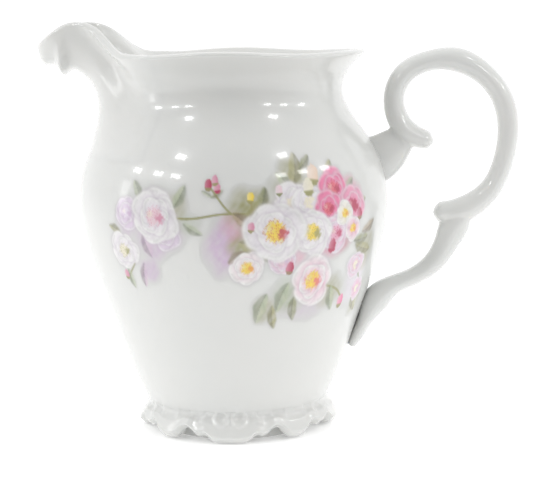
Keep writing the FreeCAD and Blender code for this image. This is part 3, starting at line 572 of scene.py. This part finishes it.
# Soft washes: place, half width, half height, lean in degrees, colour, strength.
WASHES = (
    (24, 41.0, 11, 5, 10, MAUVE, 0.28), (0.6, 57.0, 5.2, 8.0, 0, MAUVE, 0.80),
    (22.5, 66, 9, 8, 0, LILAC, 0.6), (-19, 59, 6, 6, 20, MAUVE, 0.60),
    (-28.0, 64.5, 4.5, 5, 0, MAUVE, 0.55), (46, 46, 5, 8, 0, LILAC, 0.6),
    (-22, 50.5, 3.5, 3.5, 20, MAUVE, 0.55), (-15, 61, 5, 5, 0, MAUVE, 0.55),
    (36, 67, 8.0, 8, 0, HOT, 0.85), (8.2, 67.0, 6.5, 6, 20, OLIVE, 0.80),
    (8.0, 57.0, 6, 5, 0, OLIVE, 0.80), (20, 43.0, 6, 5, 0, LEAF, 0.65),
    (20.5, 76.5, 4.5, 3.5, 30, OLIVE, 0.60), (34, 43.5, 6, 5, 0, OLIVE, 0.45),
    (36, 57.0, 4, 3, 0, CRIMSON, 0.45), (48, 54, 4.5, 6, 0, OLIVE, 0.50),
    (51, 39, 3.5, 5, 0, OLIVE, 0.45), (17, 73, 4, 4, 0, OLIVE, 0.30),
    (12, 39.5, 3.5, 4, 0, OLIVE, 0.45), (-9.5, 63.5, 4, 3, 0, LEAF, 0.30),
    (-12, 68.5, 3, 4, 0, OLIVE, 0.40), (32, 56.5, 6, 4, 0, ROSE, 0.55),
    (19.5, 54.5, 5, 4, 0, PINK, 0.55), (4.5, 63.0, 5, 4, 0, ROSE, 0.35),
)
# Leaves: place of the middle, length, width, lean of the tip from upright towards the handle, colour.
LEAVES = (
    (8.6, 66.8, 9, 4.4, 35, OLIVE), (5.6, 64.2, 7, 3.6, -50, UMBER), (11.2, 70.2, 7, 3.4, 15, MOSS),
    (8.3, 57.2, 9, 4.2, -70, OLIVE), (4.4, 54.4, 7, 3.4, -120, UMBER),
    (12.5, 55.5, 7, 3.2, 150, MOSS), (20.8, 77.2, 10, 4.6, 12, OLIVE),
    (24.6, 79.0, 6, 2.8, 50, MOSS), (17.4, 74.2, 7, 3.2, -40, LEAF),
    (11.6, 40.0, 10, 4.6, -160, LEAF), (15.6, 37.4, 8, 3.6, 170, OLIVE),
    (18.1, 42.8, 10, 4.4, 200, LEAF), (22.2, 39.4, 8, 3.6, 175, MOSS),
    (46.4, 54.6, 10, 4.2, 105, OLIVE), (47.8, 60.2, 8, 3.4, 65, UMBER),
    (44.6, 57.2, 8, 3.6, 85, MOSS), (50.1, 38.6, 9, 3.8, 140, OLIVE),
    (36.2, 41.2, 9, 3.8, 160, LEAF), (31.6, 76.4, 8, 3.4, 40, OLIVE),
    (38.6, 72.4, 7, 3.0, 60, LEAF), (43.2, 67.6, 7, 3.0, 80, OLIVE),
    (-11.6, 70.8, 8, 3.6, 30, LEAF), (-7.5, 62.4, 7, 2.8, 120, LEAF),
    (-21.3, 57.6, 8, 3.4, 160, MAUVE), (-24.0, 49.2, 8, 3.2, 190, MAUVE),
    (-29.6, 48.0, 7, 2.8, 170, LEAF), (-24.6, 72.0, 7, 3.0, -30, LEAF),
    (-33.0, 61.2, 6, 2.6, -70, OLIVE), (-0.9, 71.6, 4.5, 2.0, 60, OLIVE),
    (-3.6, 71.4, 4, 1.6, -60, LEAF),
)
# Stems: width, colour, then places along the line.
STEMS = (
    (0.35, OLIVE, ((-13.5, 65.6), (-10.4, 64.6), (-3.0, 65.7), (1.0, 66.6), (7.1, 66.2))),
    (0.30, OLIVE, ((-2.2, 72.6), (-0.6, 70.6), (0.5, 68.5), (2.6, 66.6))),
    (0.30, UMBER, ((8.2, 69.6), (8.6, 66.0), (11.0, 63.5))),
    (0.30, UMBER, ((16.0, 71.4), (14.8, 68.4), (15.2, 66))),
    (0.35, OLIVE, ((24.8, 73.0), (25.4, 69.8), (24.0, 66))),
    (0.35, OLIVE, ((41.4, 40.4), (38.0, 43.6), (33.0, 45))),
    (0.30, MOSS, ((50.0, 43.0), (47.5, 47.0), (42, 51))),
    (0.30, OLIVE, ((-31.4, 47.6), (-28, 51.0), (-25, 55))),
    (0.30, UMBER, ((4.6, 51.6), (9.0, 54.6), (14, 56.5))),
)
# Flowers: place, radius, petals, turn in degrees, outer colour, inner colour, heart, spots.
FLOWERS = (
    (-28.0, 66.0, 4.4, 5, 20, LILAC, MAUVE, LILAC, MAUVE),
    (-15.2, 60.8, 4.4, 5, 50, LILAC, MAUVE, LILAC, MAUVE),
    (20.0, 68.4, 5.8, 5, 35, WHITE, LILAC, CREAM, LILAC),
    (25.0, 68.4, 5.2, 5, 0, WHITE, LILAC, CREAM, LILAC),
    (33.0, 71.6, 5.6, 5, 0, HOT, HOT, CORAL, CRIMSON),
    (40.2, 66.4, 5.6, 5, 40, PINK, HOT, CRIMSON, CRIMSON),
    (30.8, 66.4, 5.0, 5, 60, HOT, HOT, CORAL, CRIMSON),
    (44.6, 49.4, 4.0, 5, 0, LILAC, PINK, CREAM, MAUVE),
    (49.4, 42.2, 3.6, 5, 30, LILAC, PINK, CREAM, MAUVE),
    (17.0, 53.4, 4.2, 5, 0, LILAC, PINK, BLUSH, MAUVE),
    (33.6, 59.6, 5.2, 5, 15, LILAC, PINK, PINK, CRIMSON),
    (36.8, 64.6, 3.4, 5, 0, WHITE, CREAM, YELLOW, ORANGE),
    (40.2, 60.2, 3.4, 5, 30, WHITE, PINK, YELLOW, ORANGE),
    (25.6, 60.4, 6.4, 5, 10, WHITE, LILAC, YELLOW, OLIVE),
    (7.0, 51.6, 4.8, 5, 40, WHITE, BLUSH, YELLOW, ORANGE),
    (27.4, 47.0, 7.2, 5, 0, WHITE, PINK, YELLOW, CORAL),
    (14.8, 61.2, 8.4, 6, 25, WHITE, LILAC, YELLOW, CRIMSON),
    (-18.6, 65.4, 7.2, 6, 5, WHITE, LILAC, BLUSH, ROSE),
    (-30.2, 55.6, 5.2, 5, 30, WHITE, LILAC, CREAM, OLIVE),
)
# Buds: place, radius, colour, colour of the cup under them.
BUDS = (
    (26.7, 75.6, 2.6, PEACH, OLIVE), (24.7, 72.6, 2.2, CREAM, OLIVE), (8.1, 62.6, 1.3, ROSE, OLIVE),
    (8.1, 70.4, 1.4, YELLOW, OLIVE), (16.0, 72.0, 1.4, BLUSH, MOSS),
    (19.4, 51.0, 1.7, CRIMSON, UMBER), (41.3, 39.6, 1.9, HOT, OLIVE),
    (32.6, 56.2, 1.8, CRIMSON, CRIMSON), (-3.2, 73.9, 1.5, CRIMSON, OLIVE),
    (-0.8, 73.2, 1.4, ROSE, CRIMSON), (-1.4, 75.0, 1.3, ROSE, OLIVE),
    (43.0, 64.0, 1.6, CRIMSON, UMBER), (-31.4, 48.8, 1.3, ROSE, OLIVE),
)


def drift(u, z, scale):
    """Soft wandering value about 0, from crossed sines of place whose phases bend each other."""
    a, b = u / scale, z / scale
    return (np.sin(2.1 * a + 1.7 * np.sin(1.3 * b)) * np.sin(1.9 * b + 1.5 * np.sin(1.1 * a + 0.7))
            + 0.5 * np.sin(4.7 * a - 3.1 * b + np.sin(2.3 * b))) / 1.5


class Painting:
    """Colour and cover of the paint over a grid of places; each stroke is laid over the last."""

    def __init__(self, u, z):
        self.u, self.z = u, z
        self.colour = np.zeros(u.shape + (3,)) + WHITE
        self.cover = np.zeros(u.shape)

    def lay(self, colour, strength):
        """Lays a colour on: cover c over cover k gives c + k (1 - c), and the colours mix alike."""
        strength = np.clip(strength, 0, 1)
        total = strength + self.cover * (1 - strength)
        share = (strength / np.maximum(total, 1e-6))[..., None]
        self.colour = self.colour + (np.asarray(colour) - self.colour) * share
        self.cover = total

    def local(self, u, z, lean):
        """Place seen from a mark: along its lean from upright, and across it."""
        turn = math.radians(lean)
        du, dz = self.u - u, self.z - z
        return du * math.sin(turn) + dz * math.cos(turn), du * math.cos(turn) - dz * math.sin(turn)

    def wash(self, u, z, half_width, half_height, lean, colour, strength):
        up, across = self.local(u, z, lean)
        away = np.hypot(across / half_width, up / half_height) + 0.16 * drift(self.u, self.z, 5.0)
        mottled = 1 + 0.25 * drift(self.u + u, self.z, 1.6)
        self.lay(colour, strength * mottled * ease((1.25 - away) / 0.85))

    def leaf(self, u, z, length, width, lean, colour):
        up, across = self.local(u, z, lean)
        share = up / length + 0.5
        across = across - 0.06 * length * np.sin(math.pi * share)
        plump = np.sin(math.pi * np.clip(share, 0, 1)) ** 0.8
        half = width / 2 * plump * (1 + 0.05 * np.sin(17 * share + u))
        inside = ease((half - np.abs(across)) / 0.9 + 0.2) * ease(share / 0.12) * ease((1 - share) / 0.12)
        light = 0.5 + 0.5 * drift(self.u + u, self.z, 2.2)
        pale = np.asarray(colour) * 0.55 + np.asarray(CREAM) * 0.45
        shade = np.asarray(colour) + (pale - np.asarray(colour)) * (light * 0.8)[..., None]
        shade = shade * (1 - 0.22 * (across > 0))[..., None]
        self.lay(shade, inside * (0.72 + 0.2 * drift(self.u, self.z + u, 2.0)))
        vein = ridge(across, 0.22) + 0.5 * ridge((np.abs(across) - 2.2 * ((share * 4) % 1 - 0.2)), 0.16)
        self.lay(np.asarray(colour) * 0.7, 0.28 * inside * np.clip(vein, 0, 1) * ease((0.85 - share) / 0.3))

    def stem(self, width, colour, places):
        line = spline(places if len(places) > 3 else [places[0], places[1], places[1], places[2]],
                      np.linspace(0, 1, 60))
        near = np.full(self.u.shape, np.inf)
        for u, z in line:
            near = np.minimum(near, np.hypot(self.u - u, self.z - z))
        self.lay(colour, 0.85 * ease((width - near) / 0.25 + 0.5))

    def petal(self, u, z, bearing, radius, reach, fat, outer, inner, thin):
        """One petal: an oval whose edge waves, white outside, tinted and streaked to the middle."""
        out, across = self.local(u, z, bearing)
        wave = 0.05 * np.sin(4 * np.arctan2(across, out - reach * radius * 0.4) + bearing)
        length = radius * reach
        away = np.hypot((out - 0.55 * length) / (0.5 * length), across / (radius * fat)) + wave
        inside = ease((1.0 - away) / thin)
        depth = np.clip(out / (radius * reach), 0, 1)
        streak = 0.5 + 0.5 * np.sin(across / radius * 9 + 3 * drift(self.u, self.z, 1.6))
        tint = np.clip(1.1 - 1.1 * depth, 0, 1) * (0.85 + 0.15 * streak)
        shade = np.asarray(outer) + (np.asarray(inner) - np.asarray(outer)) * tint[..., None]
        shade = shade - 0.06 * (ridge(away - 0.72, 0.14) * (across < 0))[..., None]
        self.lay(np.asarray(SHADOW), 0.30 * ease((1.20 - away) / 0.30) * ease((away - 0.80) / 0.1))
        self.lay(shade, inside)
        self.lay((0.95, 0.95, 0.94), 0.40 * ridge(away - 0.82, 0.13) * ease((depth - 0.35) / 0.3))

    def flower(self, u, z, radius, petals, turn, outer, inner, heart, spots):
        for ring, (reach, fat, extra) in enumerate(((1.0, 0.62, 0), (0.66, 0.40, 0))):
            if ring and radius < 4:
                continue
            for k in range(petals + extra):
                bearing = turn + 360 * (k + 0.5 * ring) / (petals + extra) + 8 * math.sin(3 * k + u)
                length = reach * (1 + 0.10 * math.sin(2.3 * k + z))
                self.petal(u, z, bearing, radius, length, fat, outer, inner, 0.22)
        wobble = 0.08 * drift(self.u, self.z, 0.9)
        away = np.hypot(self.u - u, self.z - z) / radius + wobble
        self.lay(heart, 0.95 * ease((0.42 - away) / 0.18))
        lit = np.hypot(self.u - u + 0.2 * radius, self.z - z - 0.1 * radius) / radius
        self.lay(CREAM, 0.5 * ease((0.22 - lit) / 0.2))
        aside = np.hypot(self.u - u - 0.24 * radius, self.z - z + 0.05 * radius) / radius + wobble
        self.lay(spots, 0.75 * ease((0.24 - aside) / 0.16))
        speck = ease((drift(self.u + z, self.z + u, 0.42) - 0.25) / 0.3)
        self.lay(spots, speck * ease((0.46 - away) / 0.12) * 0.45)

    def bud(self, u, z, radius, colour, cup):
        up, across = self.local(u, z, 8 * math.sin(u))
        away = np.hypot(across / (radius * 0.8), up / (radius * 1.2)) + 0.1 * drift(self.u, self.z, 0.8)
        pale = np.asarray(colour) * 0.6 + np.asarray(WHITE) * 0.4
        light = np.clip(0.5 + across / radius, 0, 1)[..., None]
        self.lay(pale + (np.asarray(colour) - pale) * light, ease((1 - away) / 0.25))
        self.lay(cup, ease((1.05 - away) / 0.2) * ease((-up / radius - 0.35) / 0.3) * 0.9)


def paint_sprays(strength):
    """The whole decoration, over a grid of places round the jug and up it."""
    left, right, low, high = FILM_SPAN
    u, z = np.meshgrid(np.arange(left, right, FILM_STEP), np.arange(low, high, FILM_STEP))
    work = Painting(u, z)
    layers = ((work.wash, WASHES), (work.stem, STEMS), (work.leaf, LEAVES), (work.flower, FLOWERS),
              (work.bud, BUDS))
    for lay_mark, marks in layers:
        for mark in marks:
            lay_mark(*mark)
    mottle = 1 + 0.012 * drift(u, z, 0.9) + 0.02 * drift(u, z, 3.0)
    return u, z, np.clip(work.colour * mottle[..., None], 0, 1), work.cover * strength


def share_out(u, z):
    """Which transfer each place belongs to: 0 the rose spray, 1 the buds by the lip, 2 the sprig."""
    across = Profile(0.0).outer(z) * np.sin(u / GIRTH)
    split = np.interp(z, *SPRAY_SIDE)
    return np.where(across < BUDS_SIDE, 1, np.where(across < split, 2, 0))


def joined_up(mask):
    """Fills cells that would leave two others touching only at a corner."""
    for _ in range(12):
        a, b, c, d = mask[:-1, :-1], mask[1:, 1:], mask[1:, :-1], mask[:-1, 1:]
        first, second = a & b & ~c & ~d, c & d & ~a & ~b
        mask = mask.copy()
        mask[1:, :-1] |= first
        mask[:-1, :-1] |= second
    return mask


def make_film(name, painting, number, side):
    """A thin closed film over the painted places: each place x is turned to the angle x / girth
    and set out to the wall's radius. The film thins out where the paint does, and is closed
    underneath and round its edges."""
    u, z, colour, cover = painting
    rows, columns = u.shape
    mine = share_out(u, z) == number
    cells = (cover > BARE) & mine
    mask = np.zeros((rows + 1, columns + 1), bool)
    mask[1:rows, 1:columns] = cells[:-1, :-1] | cells[1:, :-1] | cells[:-1, 1:] | cells[1:, 1:]
    mask[1:rows, 1:columns] &= mine[:-1, :-1]
    mask = joined_up(mask)[1:rows, 1:columns]
    rise = FILM_RISE * (0.1 + 0.9 * ease((cover - BARE) / 0.3))[..., None]
    profile = Profile(0.0)
    slope = np.gradient(profile.outer(z), FILM_STEP, axis=0)
    turn = u / GIRTH
    lean = np.hypot(1, slope)
    normal = np.stack([np.sin(turn) / lean, side * np.cos(turn) / lean, -slope / lean], -1)
    radius = profile.outer(z)
    wall = np.stack([radius * np.sin(turn), side * radius * np.cos(turn), z], -1)
    points = np.concatenate([(wall + normal * rise).reshape(-1, 3), wall.reshape(-1, 3)])
    top = quads(rows, columns).reshape(rows - 1, columns - 1, 4)
    count = rows * columns
    skin = turned_towards(points, top[mask], normal.reshape(-1, 3)[top[mask][:, 0]])
    under = skin[:, ::-1] + count
    edges = np.concatenate([np.stack([skin[:, k], skin[:, (k + 1) % 4]], -1) for k in range(4)])
    key, back = edges[:, 0] * count + edges[:, 1], edges[:, 1] * count + edges[:, 0]
    rim = edges[~np.isin(key, back)]
    wallside = np.stack([rim[:, 1], rim[:, 0], rim[:, 0] + count, rim[:, 1] + count], -1)
    normals = np.concatenate([normal.reshape(-1, 3)] * 2)
    piece = make_piece(name, points, skin, normals, np.concatenate([under, wallside]))
    used = np.unique(np.concatenate([skin, under, wallside])) % count
    paint = piece.data.attributes.new("paint", "FLOAT_COLOR", "POINT")
    values = np.concatenate([colour.reshape(-1, 3)[used] ** 2.2, cover.reshape(-1, 1)[used]], 1)
    paint.data.foreach_set("color", values.astype(np.float32).ravel())
    return piece


# ---------------------------------------------------------------- materials
def node_of(tree, kind, x, y, **inputs):
    """A shader node placed on the sheet, with its sockets set by name."""
    node = tree.nodes.new(kind)
    node.location = (x, y)
    for name, value in inputs.items():
        node.inputs[name.replace("_", " ")].default_value = value
    return node


def enamel_over(tree, place, tint):
    """The fired enamel: its paint, brushed a little lighter and darker, over the porcelain."""
    link = tree.links.new
    paint = node_of(tree, "ShaderNodeAttribute", -950, 600)
    paint.attribute_name = "paint"
    brush = node_of(tree, "ShaderNodeTexNoise", -950, 450, Scale=1400.0, Detail=2.0)
    bright = node_of(tree, "ShaderNodeMapRange", -700, 450)
    bright.inputs["To Min"].default_value = 0.95
    bright.inputs["To Max"].default_value = 1.05
    worked = node_of(tree, "ShaderNodeMix", -450, 600)
    worked.data_type, worked.blend_type = "RGBA", "MULTIPLY"
    worked.inputs[0].default_value = 1.0
    over = node_of(tree, "ShaderNodeMix", -300, 350)
    over.data_type = "RGBA"
    link(place.outputs["Object"], brush.inputs["Vector"])
    link(brush.outputs["Fac"], bright.inputs["Value"])
    link(paint.outputs["Color"], worked.inputs[6])
    link(bright.outputs["Result"], worked.inputs[7])
    link(paint.outputs["Alpha"], over.inputs[0])
    link(tint.outputs["Color"], over.inputs[6])
    link(worked.outputs[2], over.inputs[7])
    return over


def glaze_material(glaze, name="glazed_porcelain", painted=False):
    """White porcelain under a clear glaze: a faint cloudy tint and a skin that is never quite flat.
    The painted kind lays the paint attribute over the porcelain's own colour."""
    material = bpy.data.materials.new(name)
    material.use_nodes = True
    tree = material.node_tree
    tree.nodes.clear()
    link = tree.links.new
    place = node_of(tree, "ShaderNodeTexCoord", -1200, 0)
    cloud = node_of(tree, "ShaderNodeTexNoise", -950, 200, Scale=32.0, Detail=3.0, Roughness=0.55)
    tint = node_of(tree, "ShaderNodeValToRGB", -700, 200)
    tint.color_ramp.elements[0].position, tint.color_ramp.elements[1].position = 0.3, 0.7
    tint.color_ramp.elements[0].color = (*glaze.shade, 1)
    tint.color_ramp.elements[1].color = (*glaze.colour, 1)
    wave = node_of(tree, "ShaderNodeTexNoise", -950, -150, Scale=90.0, Detail=2.0)
    grain = node_of(tree, "ShaderNodeTexNoise", -950, -400, Scale=900.0, Detail=1.0)
    mix = node_of(tree, "ShaderNodeMix", -700, -250)
    mix.data_type = "FLOAT"
    mix.inputs[0].default_value = 0.15
    bump = node_of(tree, "ShaderNodeBump", -450, -250, Strength=glaze.waviness, Distance=0.0004)
    rough = node_of(tree, "ShaderNodeMapRange", -700, 0)
    rough.inputs["To Min"].default_value = glaze.roughness * 0.8
    rough.inputs["To Max"].default_value = glaze.roughness * 1.25
    shader = node_of(tree, "ShaderNodeBsdfPrincipled", -200, 0)
    shader.inputs["IOR"].default_value = 1.5
    shader.inputs["Coat Weight"].default_value = glaze.coat
    shader.inputs["Coat Roughness"].default_value = 0.04
    shader.inputs["Subsurface Weight"].default_value = glaze.depth
    shader.inputs["Subsurface Radius"].default_value = (0.004, 0.0038, 0.0034)
    shader.inputs["Subsurface Scale"].default_value = 1.0
    output = node_of(tree, "ShaderNodeOutputMaterial", 100, 0)
    for texture in (cloud, wave, grain):
        link(place.outputs["Object"], texture.inputs["Vector"])
    link(cloud.outputs["Fac"], tint.inputs["Fac"])
    surface = enamel_over(tree, place, tint).outputs[2] if painted else tint.outputs["Color"]
    link(surface, shader.inputs["Base Color"])
    link(wave.outputs["Fac"], mix.inputs[2])
    link(grain.outputs["Fac"], mix.inputs[3])
    link(mix.outputs[0], bump.inputs["Height"])
    link(bump.outputs["Normal"], shader.inputs["Normal"])
    link(cloud.outputs["Fac"], rough.inputs["Value"])
    link(rough.outputs["Result"], shader.inputs["Roughness"])
    link(shader.outputs["BSDF"], output.inputs["Surface"])
    return material


# ---------------------------------------------------------------- the add-on
def amount(name, description, default, **more):
    """One adjustable number."""
    return bpy.props.FloatProperty(name=name, description=description, default=default, **more)


def fraction(name, description, default):
    """One adjustable share, from 0 to 1."""
    return amount(name, description, default, min=0, max=1, subtype="FACTOR")


def tint_of(name, description, default, **more):
    """One adjustable colour."""
    return bpy.props.FloatVectorProperty(
        name=name, description=description, subtype="COLOR", size=3, default=default, **more)


class JugSettings(bpy.types.PropertyGroup):
    """Sizes of the casting, in millimetres."""

    wall: amount("Wall", "Wall thickness in millimetres", 2.2, min=1.5)
    rim_round: amount("Rim rounding", "How far the rounded rim rises above its edge", 0.9, min=0)
    flute_depth: amount("Flute depth", "Depth of the lobes under the lip", 2.2, min=0)
    flute_pitch: amount("Flute pitch", "Distance from flute to flute", 6.6, min=1)
    relief: amount("Relief", "Height of the scrollwork on the foot", 0.55, min=0)
    handle_crest: amount("Handle crest", "Height of the crest along the handle", 0.1, min=0)
    handle_grain: amount("Handle grain", "Voxel size that melts the handle together", 0.34, min=0.2)


class GlazeSettings(bpy.types.PropertyGroup):
    """Finish of the porcelain."""

    colour: tint_of("Porcelain", "Colour of the glazed porcelain", (0.715, 0.716, 0.697), min=0, max=1)
    shade: tint_of("Porcelain shade", "Cloudy tint in the porcelain", (0.690, 0.700, 0.684), min=0, max=1)
    roughness: fraction("Roughness", "Roughness under the glaze", 0.22)
    coat: fraction("Glaze", "Strength of the clear glaze", 0.6)
    depth: fraction("Translucency", "How far light sinks in", 0.12)
    waviness: fraction("Waviness", "Unevenness of the glaze", 0.25)
    paint_strength: fraction("Paint", "Strength of the flower colours", 0.95)


class StudioSettings(bpy.types.PropertyGroup):
    """Floor, lights and camera."""

    floor: tint_of("Floor", "Colour of the floor", (0.95, 0.95, 0.95))
    lens: amount("Lens", "Focal length", 101.6, unit="CAMERA")
    front: amount("Front", "Brightness of the room in front", 0.46)
    back: amount("Back", "Brightness of the room behind", 1.08)
    floor_glow: amount("Floor glow", "Light from the floor", 0.25)
    front_floor: amount("Front floor", "Shade of the floor in front", 0.32)
    lamp_power: amount("Lamps", "Power of each lamp", 0.25, unit="POWER")
    side_power: amount("Side", "Power of the side light", 0.25, unit="POWER")


def glaze_of(context):
    return bpy.data.materials.get("glazed_porcelain") or glaze_material(context.scene.jug_glaze)


class JUG_OT_wall(bpy.types.Operator):
    """Make the wall and the lip that is let into it"""

    bl_idname = "jug.wall_and_lip"
    bl_label = "Wall and Lip"

    def execute(self, context):
        wall, lip = wall_and_lip(context.scene.jug_sizes)
        finish_piece(wall, glaze_of(context), "porcelain", "body")
        finish_piece(lip, glaze_of(context), "porcelain", "spout")
        return {"FINISHED"}


class JUG_OT_foot(bpy.types.Operator):
    """Make the scalloped foot"""

    bl_idname = "jug.foot"
    bl_label = "Foot"

    def execute(self, context):
        finish_piece(make_foot(context.scene.jug_sizes), glaze_of(context), "porcelain", "foot")
        return {"FINISHED"}


class JUG_OT_handle(bpy.types.Operator):
    """Make the scroll handle"""

    bl_idname = "jug.handle"
    bl_label = "Handle"

    def execute(self, context):
        finish_piece(make_handle(context.scene.jug_sizes), glaze_of(context), "porcelain", "handle")
        return {"FINISHED"}


class JUG_OT_transfers(bpy.types.Operator):
    """Make the fired-on flower transfers, front and back"""

    bl_idname = "jug.transfers"
    bl_label = "Transfers"

    def execute(self, context):
        glaze = context.scene.jug_glaze
        enamel = glaze_material(glaze, "fired_enamel", painted=True)
        painting = paint_sprays(glaze.paint_strength)
        for side, word in ((-1, "front"), (1, "back")):
            for number, kind in enumerate(("spray", "buds", "sprig")):
                label = "%s_%s" % (kind, word)
                film = make_film("jug_" + label, painting, number, side)
                finish_piece(film, enamel, "enamel", "transfer_" + label)
        return {"FINISHED"}


class JUG_OT_studio(bpy.types.Operator):
    """Make the floor, the lights and the camera"""

    bl_idname = "jug.studio"
    bl_label = "Studio"

    def execute(self, context):
        make_studio(context.scene.jug_studio)
        return {"FINISHED"}


# ---------------------------------------------------------------- studio
CAMERA_PLACE = (0.036545, -0.4445, 0.1153)
CAMERA_RIGHT = (0.99844, 0.05316, -0.01704)
CAMERA_UP = (0.00956, 0.13782, 0.99041)


def area_light(name, place, target, size, power, colour=(1, 1, 1)):
    """A soft rectangular light that looks at a target."""
    light = bpy.data.lights.new(name, "AREA")
    light.shape, light.size, light.size_y = "RECTANGLE", size[0], size[1]
    light.energy, light.color = power, colour
    made = bpy.data.objects.new(name, light)
    made.matrix_world = Matrix.Translation(place) @ (
        Vector(target) - Vector(place)).to_track_quat("-Z", "Y").to_matrix().to_4x4()
    bpy.context.scene.collection.objects.link(made)
    return made


def room_light(studio):
    """A white room that is dimmer behind the camera, so the jug's sides catch more light than its
    front."""
    world = bpy.data.worlds.new("white_room")
    world.use_nodes = True
    tree = world.node_tree
    shade = tree.nodes["Background"]
    shade.inputs["Color"].default_value = (1, 1, 1, 1)
    place = node_of(tree, "ShaderNodeTexCoord", -900, 0)
    parts = node_of(tree, "ShaderNodeSeparateXYZ", -700, 0)
    ramp = node_of(tree, "ShaderNodeMapRange", -500, 0)
    ramp.interpolation_type = "SMOOTHSTEP"
    span = (("From Min", -0.9), ("From Max", 0.1), ("To Min", studio.front), ("To Max", studio.back))
    for name, value in span:
        ramp.inputs[name].default_value = value
    tree.links.new(place.outputs["Generated"], parts.inputs[0])
    tree.links.new(parts.outputs["Y"], ramp.inputs["Value"])
    tree.links.new(ramp.outputs["Result"], shade.inputs["Strength"])
    bpy.context.scene.world = world


def make_floor(studio):
    """A pale floor with a painted glow, a little emission with no lamp behind it that brightens it towards
    the back, and painted shade that darkens its colour towards the front."""
    bpy.ops.mesh.primitive_plane_add(size=12, location=(0, 0, 0))
    floor = bpy.context.object
    floor.name = "floor"
    white = bpy.data.materials.new("white_floor")
    white.use_nodes = True
    shader = white.node_tree.nodes["Principled BSDF"]
    shader.inputs["Base Color"].default_value = (*studio.floor, 1)
    shader.inputs["Roughness"].default_value = 0.8
    shader.inputs["Specular IOR Level"].default_value = 0.1
    shader.inputs["Emission Color"].default_value = (1, 1, 1, 1)
    tree = white.node_tree
    place = node_of(tree, "ShaderNodeTexCoord", -900, 0)
    parts = node_of(tree, "ShaderNodeSeparateXYZ", -700, 0)
    # Painted shade: the floor's colour falls from its own pale colour to grey towards the front. Painted
    # glow: emission brightens the floor towards the back.
    floor_painted_shade = node_of(tree, "ShaderNodeMapRange", -500, 0)
    floor_painted_shade.interpolation_type = "SMOOTHSTEP"
    floor_painted_glow = node_of(tree, "ShaderNodeMapRange", -500, -300)
    floor_painted_glow.interpolation_type = "SMOOTHSTEP"
    for ramp, low, high in ((floor_painted_shade, studio.front_floor, studio.floor[0]), (floor_painted_glow, 0.0, studio.floor_glow)):
        for name, value in (("From Min", -0.34), ("From Max", -0.08), ("To Min", low), ("To Max", high)):
            ramp.inputs[name].default_value = value
        tree.links.new(parts.outputs["Y"], ramp.inputs["Value"])
    tree.links.new(place.outputs["Object"], parts.inputs[0])
    tree.links.new(floor_painted_shade.outputs["Result"], shader.inputs["Base Color"])
    tree.links.new(floor_painted_glow.outputs["Result"], shader.inputs["Emission Strength"])
    floor.data.materials.append(white)


# Bearing of each small lamp from the front, in degrees towards the handle, and its height.
LAMPS = ((-77, 28), (-57, 30), (-41, 30), (42, 30), (61, 30), (82, 28), (-48, 50), (55, 50))
LAMP_DISTANCE = 0.75
LAMP_SIZE = (0.09, 0.06)


def make_studio(studio):
    """A white floor and room, a row of small lamps to each side, and the camera."""
    bpy.context.scene.view_settings.view_transform = "Standard"
    make_floor(studio)
    room_light(studio)
    middle = Vector((0, 0, 0.06))
    for number, (bearing, height) in enumerate(LAMPS):
        turn, lift = math.radians(bearing), math.radians(height)
        way = Vector((math.sin(turn) * math.cos(lift), -math.cos(turn) * math.cos(lift), math.sin(lift)))
        area_light("lamp_%d" % number, middle + way * LAMP_DISTANCE, middle, LAMP_SIZE, studio.lamp_power)
    area_light("side_glow", (-0.75, -0.12, 0.14), middle, (0.1, 0.3), studio.side_power)
    camera = bpy.data.cameras.new("camera")
    camera.lens, camera.sensor_width = studio.lens, 36
    made = bpy.data.objects.new("camera", camera)
    right, up = Vector(CAMERA_RIGHT).normalized(), Vector(CAMERA_UP).normalized()
    back = right.cross(up)
    made.matrix_world = Matrix.Translation(CAMERA_PLACE) @ Matrix((right, up, back)).transposed().to_4x4()
    bpy.context.scene.collection.objects.link(made)
    bpy.context.scene.camera = made


OPERATORS = (JUG_OT_wall, JUG_OT_foot, JUG_OT_handle, JUG_OT_transfers, JUG_OT_studio)


class JUG_PT_panel(bpy.types.Panel):
    """Lists the jug's pieces"""

    bl_idname = "JUG_PT_panel"
    bl_label = "Cream Jug"
    bl_space_type = "VIEW_3D"
    bl_region_type = "UI"
    bl_category = "Cream Jug"

    def draw(self, context):
        for operator in OPERATORS:
            self.layout.operator(operator.bl_idname)


SETTINGS = (("jug_sizes", JugSettings), ("jug_glaze", GlazeSettings), ("jug_studio", StudioSettings))


def register():
    for name, group in SETTINGS:
        bpy.utils.register_class(group)
        setattr(bpy.types.Scene, name, bpy.props.PointerProperty(type=group))
    for kind in OPERATORS + (JUG_PT_panel,):
        bpy.utils.register_class(kind)


def unregister():
    for kind in reversed(OPERATORS + (JUG_PT_panel,)):
        bpy.utils.unregister_class(kind)
    for name, group in reversed(SETTINGS):
        delattr(bpy.types.Scene, name)
        bpy.utils.unregister_class(group)


def main():
    register()
    bpy.ops.jug.studio()
    bpy.ops.jug.wall_and_lip()
    bpy.ops.jug.foot()
    bpy.ops.jug.handle()
    bpy.ops.jug.transfers()


if __name__ == "__main__":
    main()
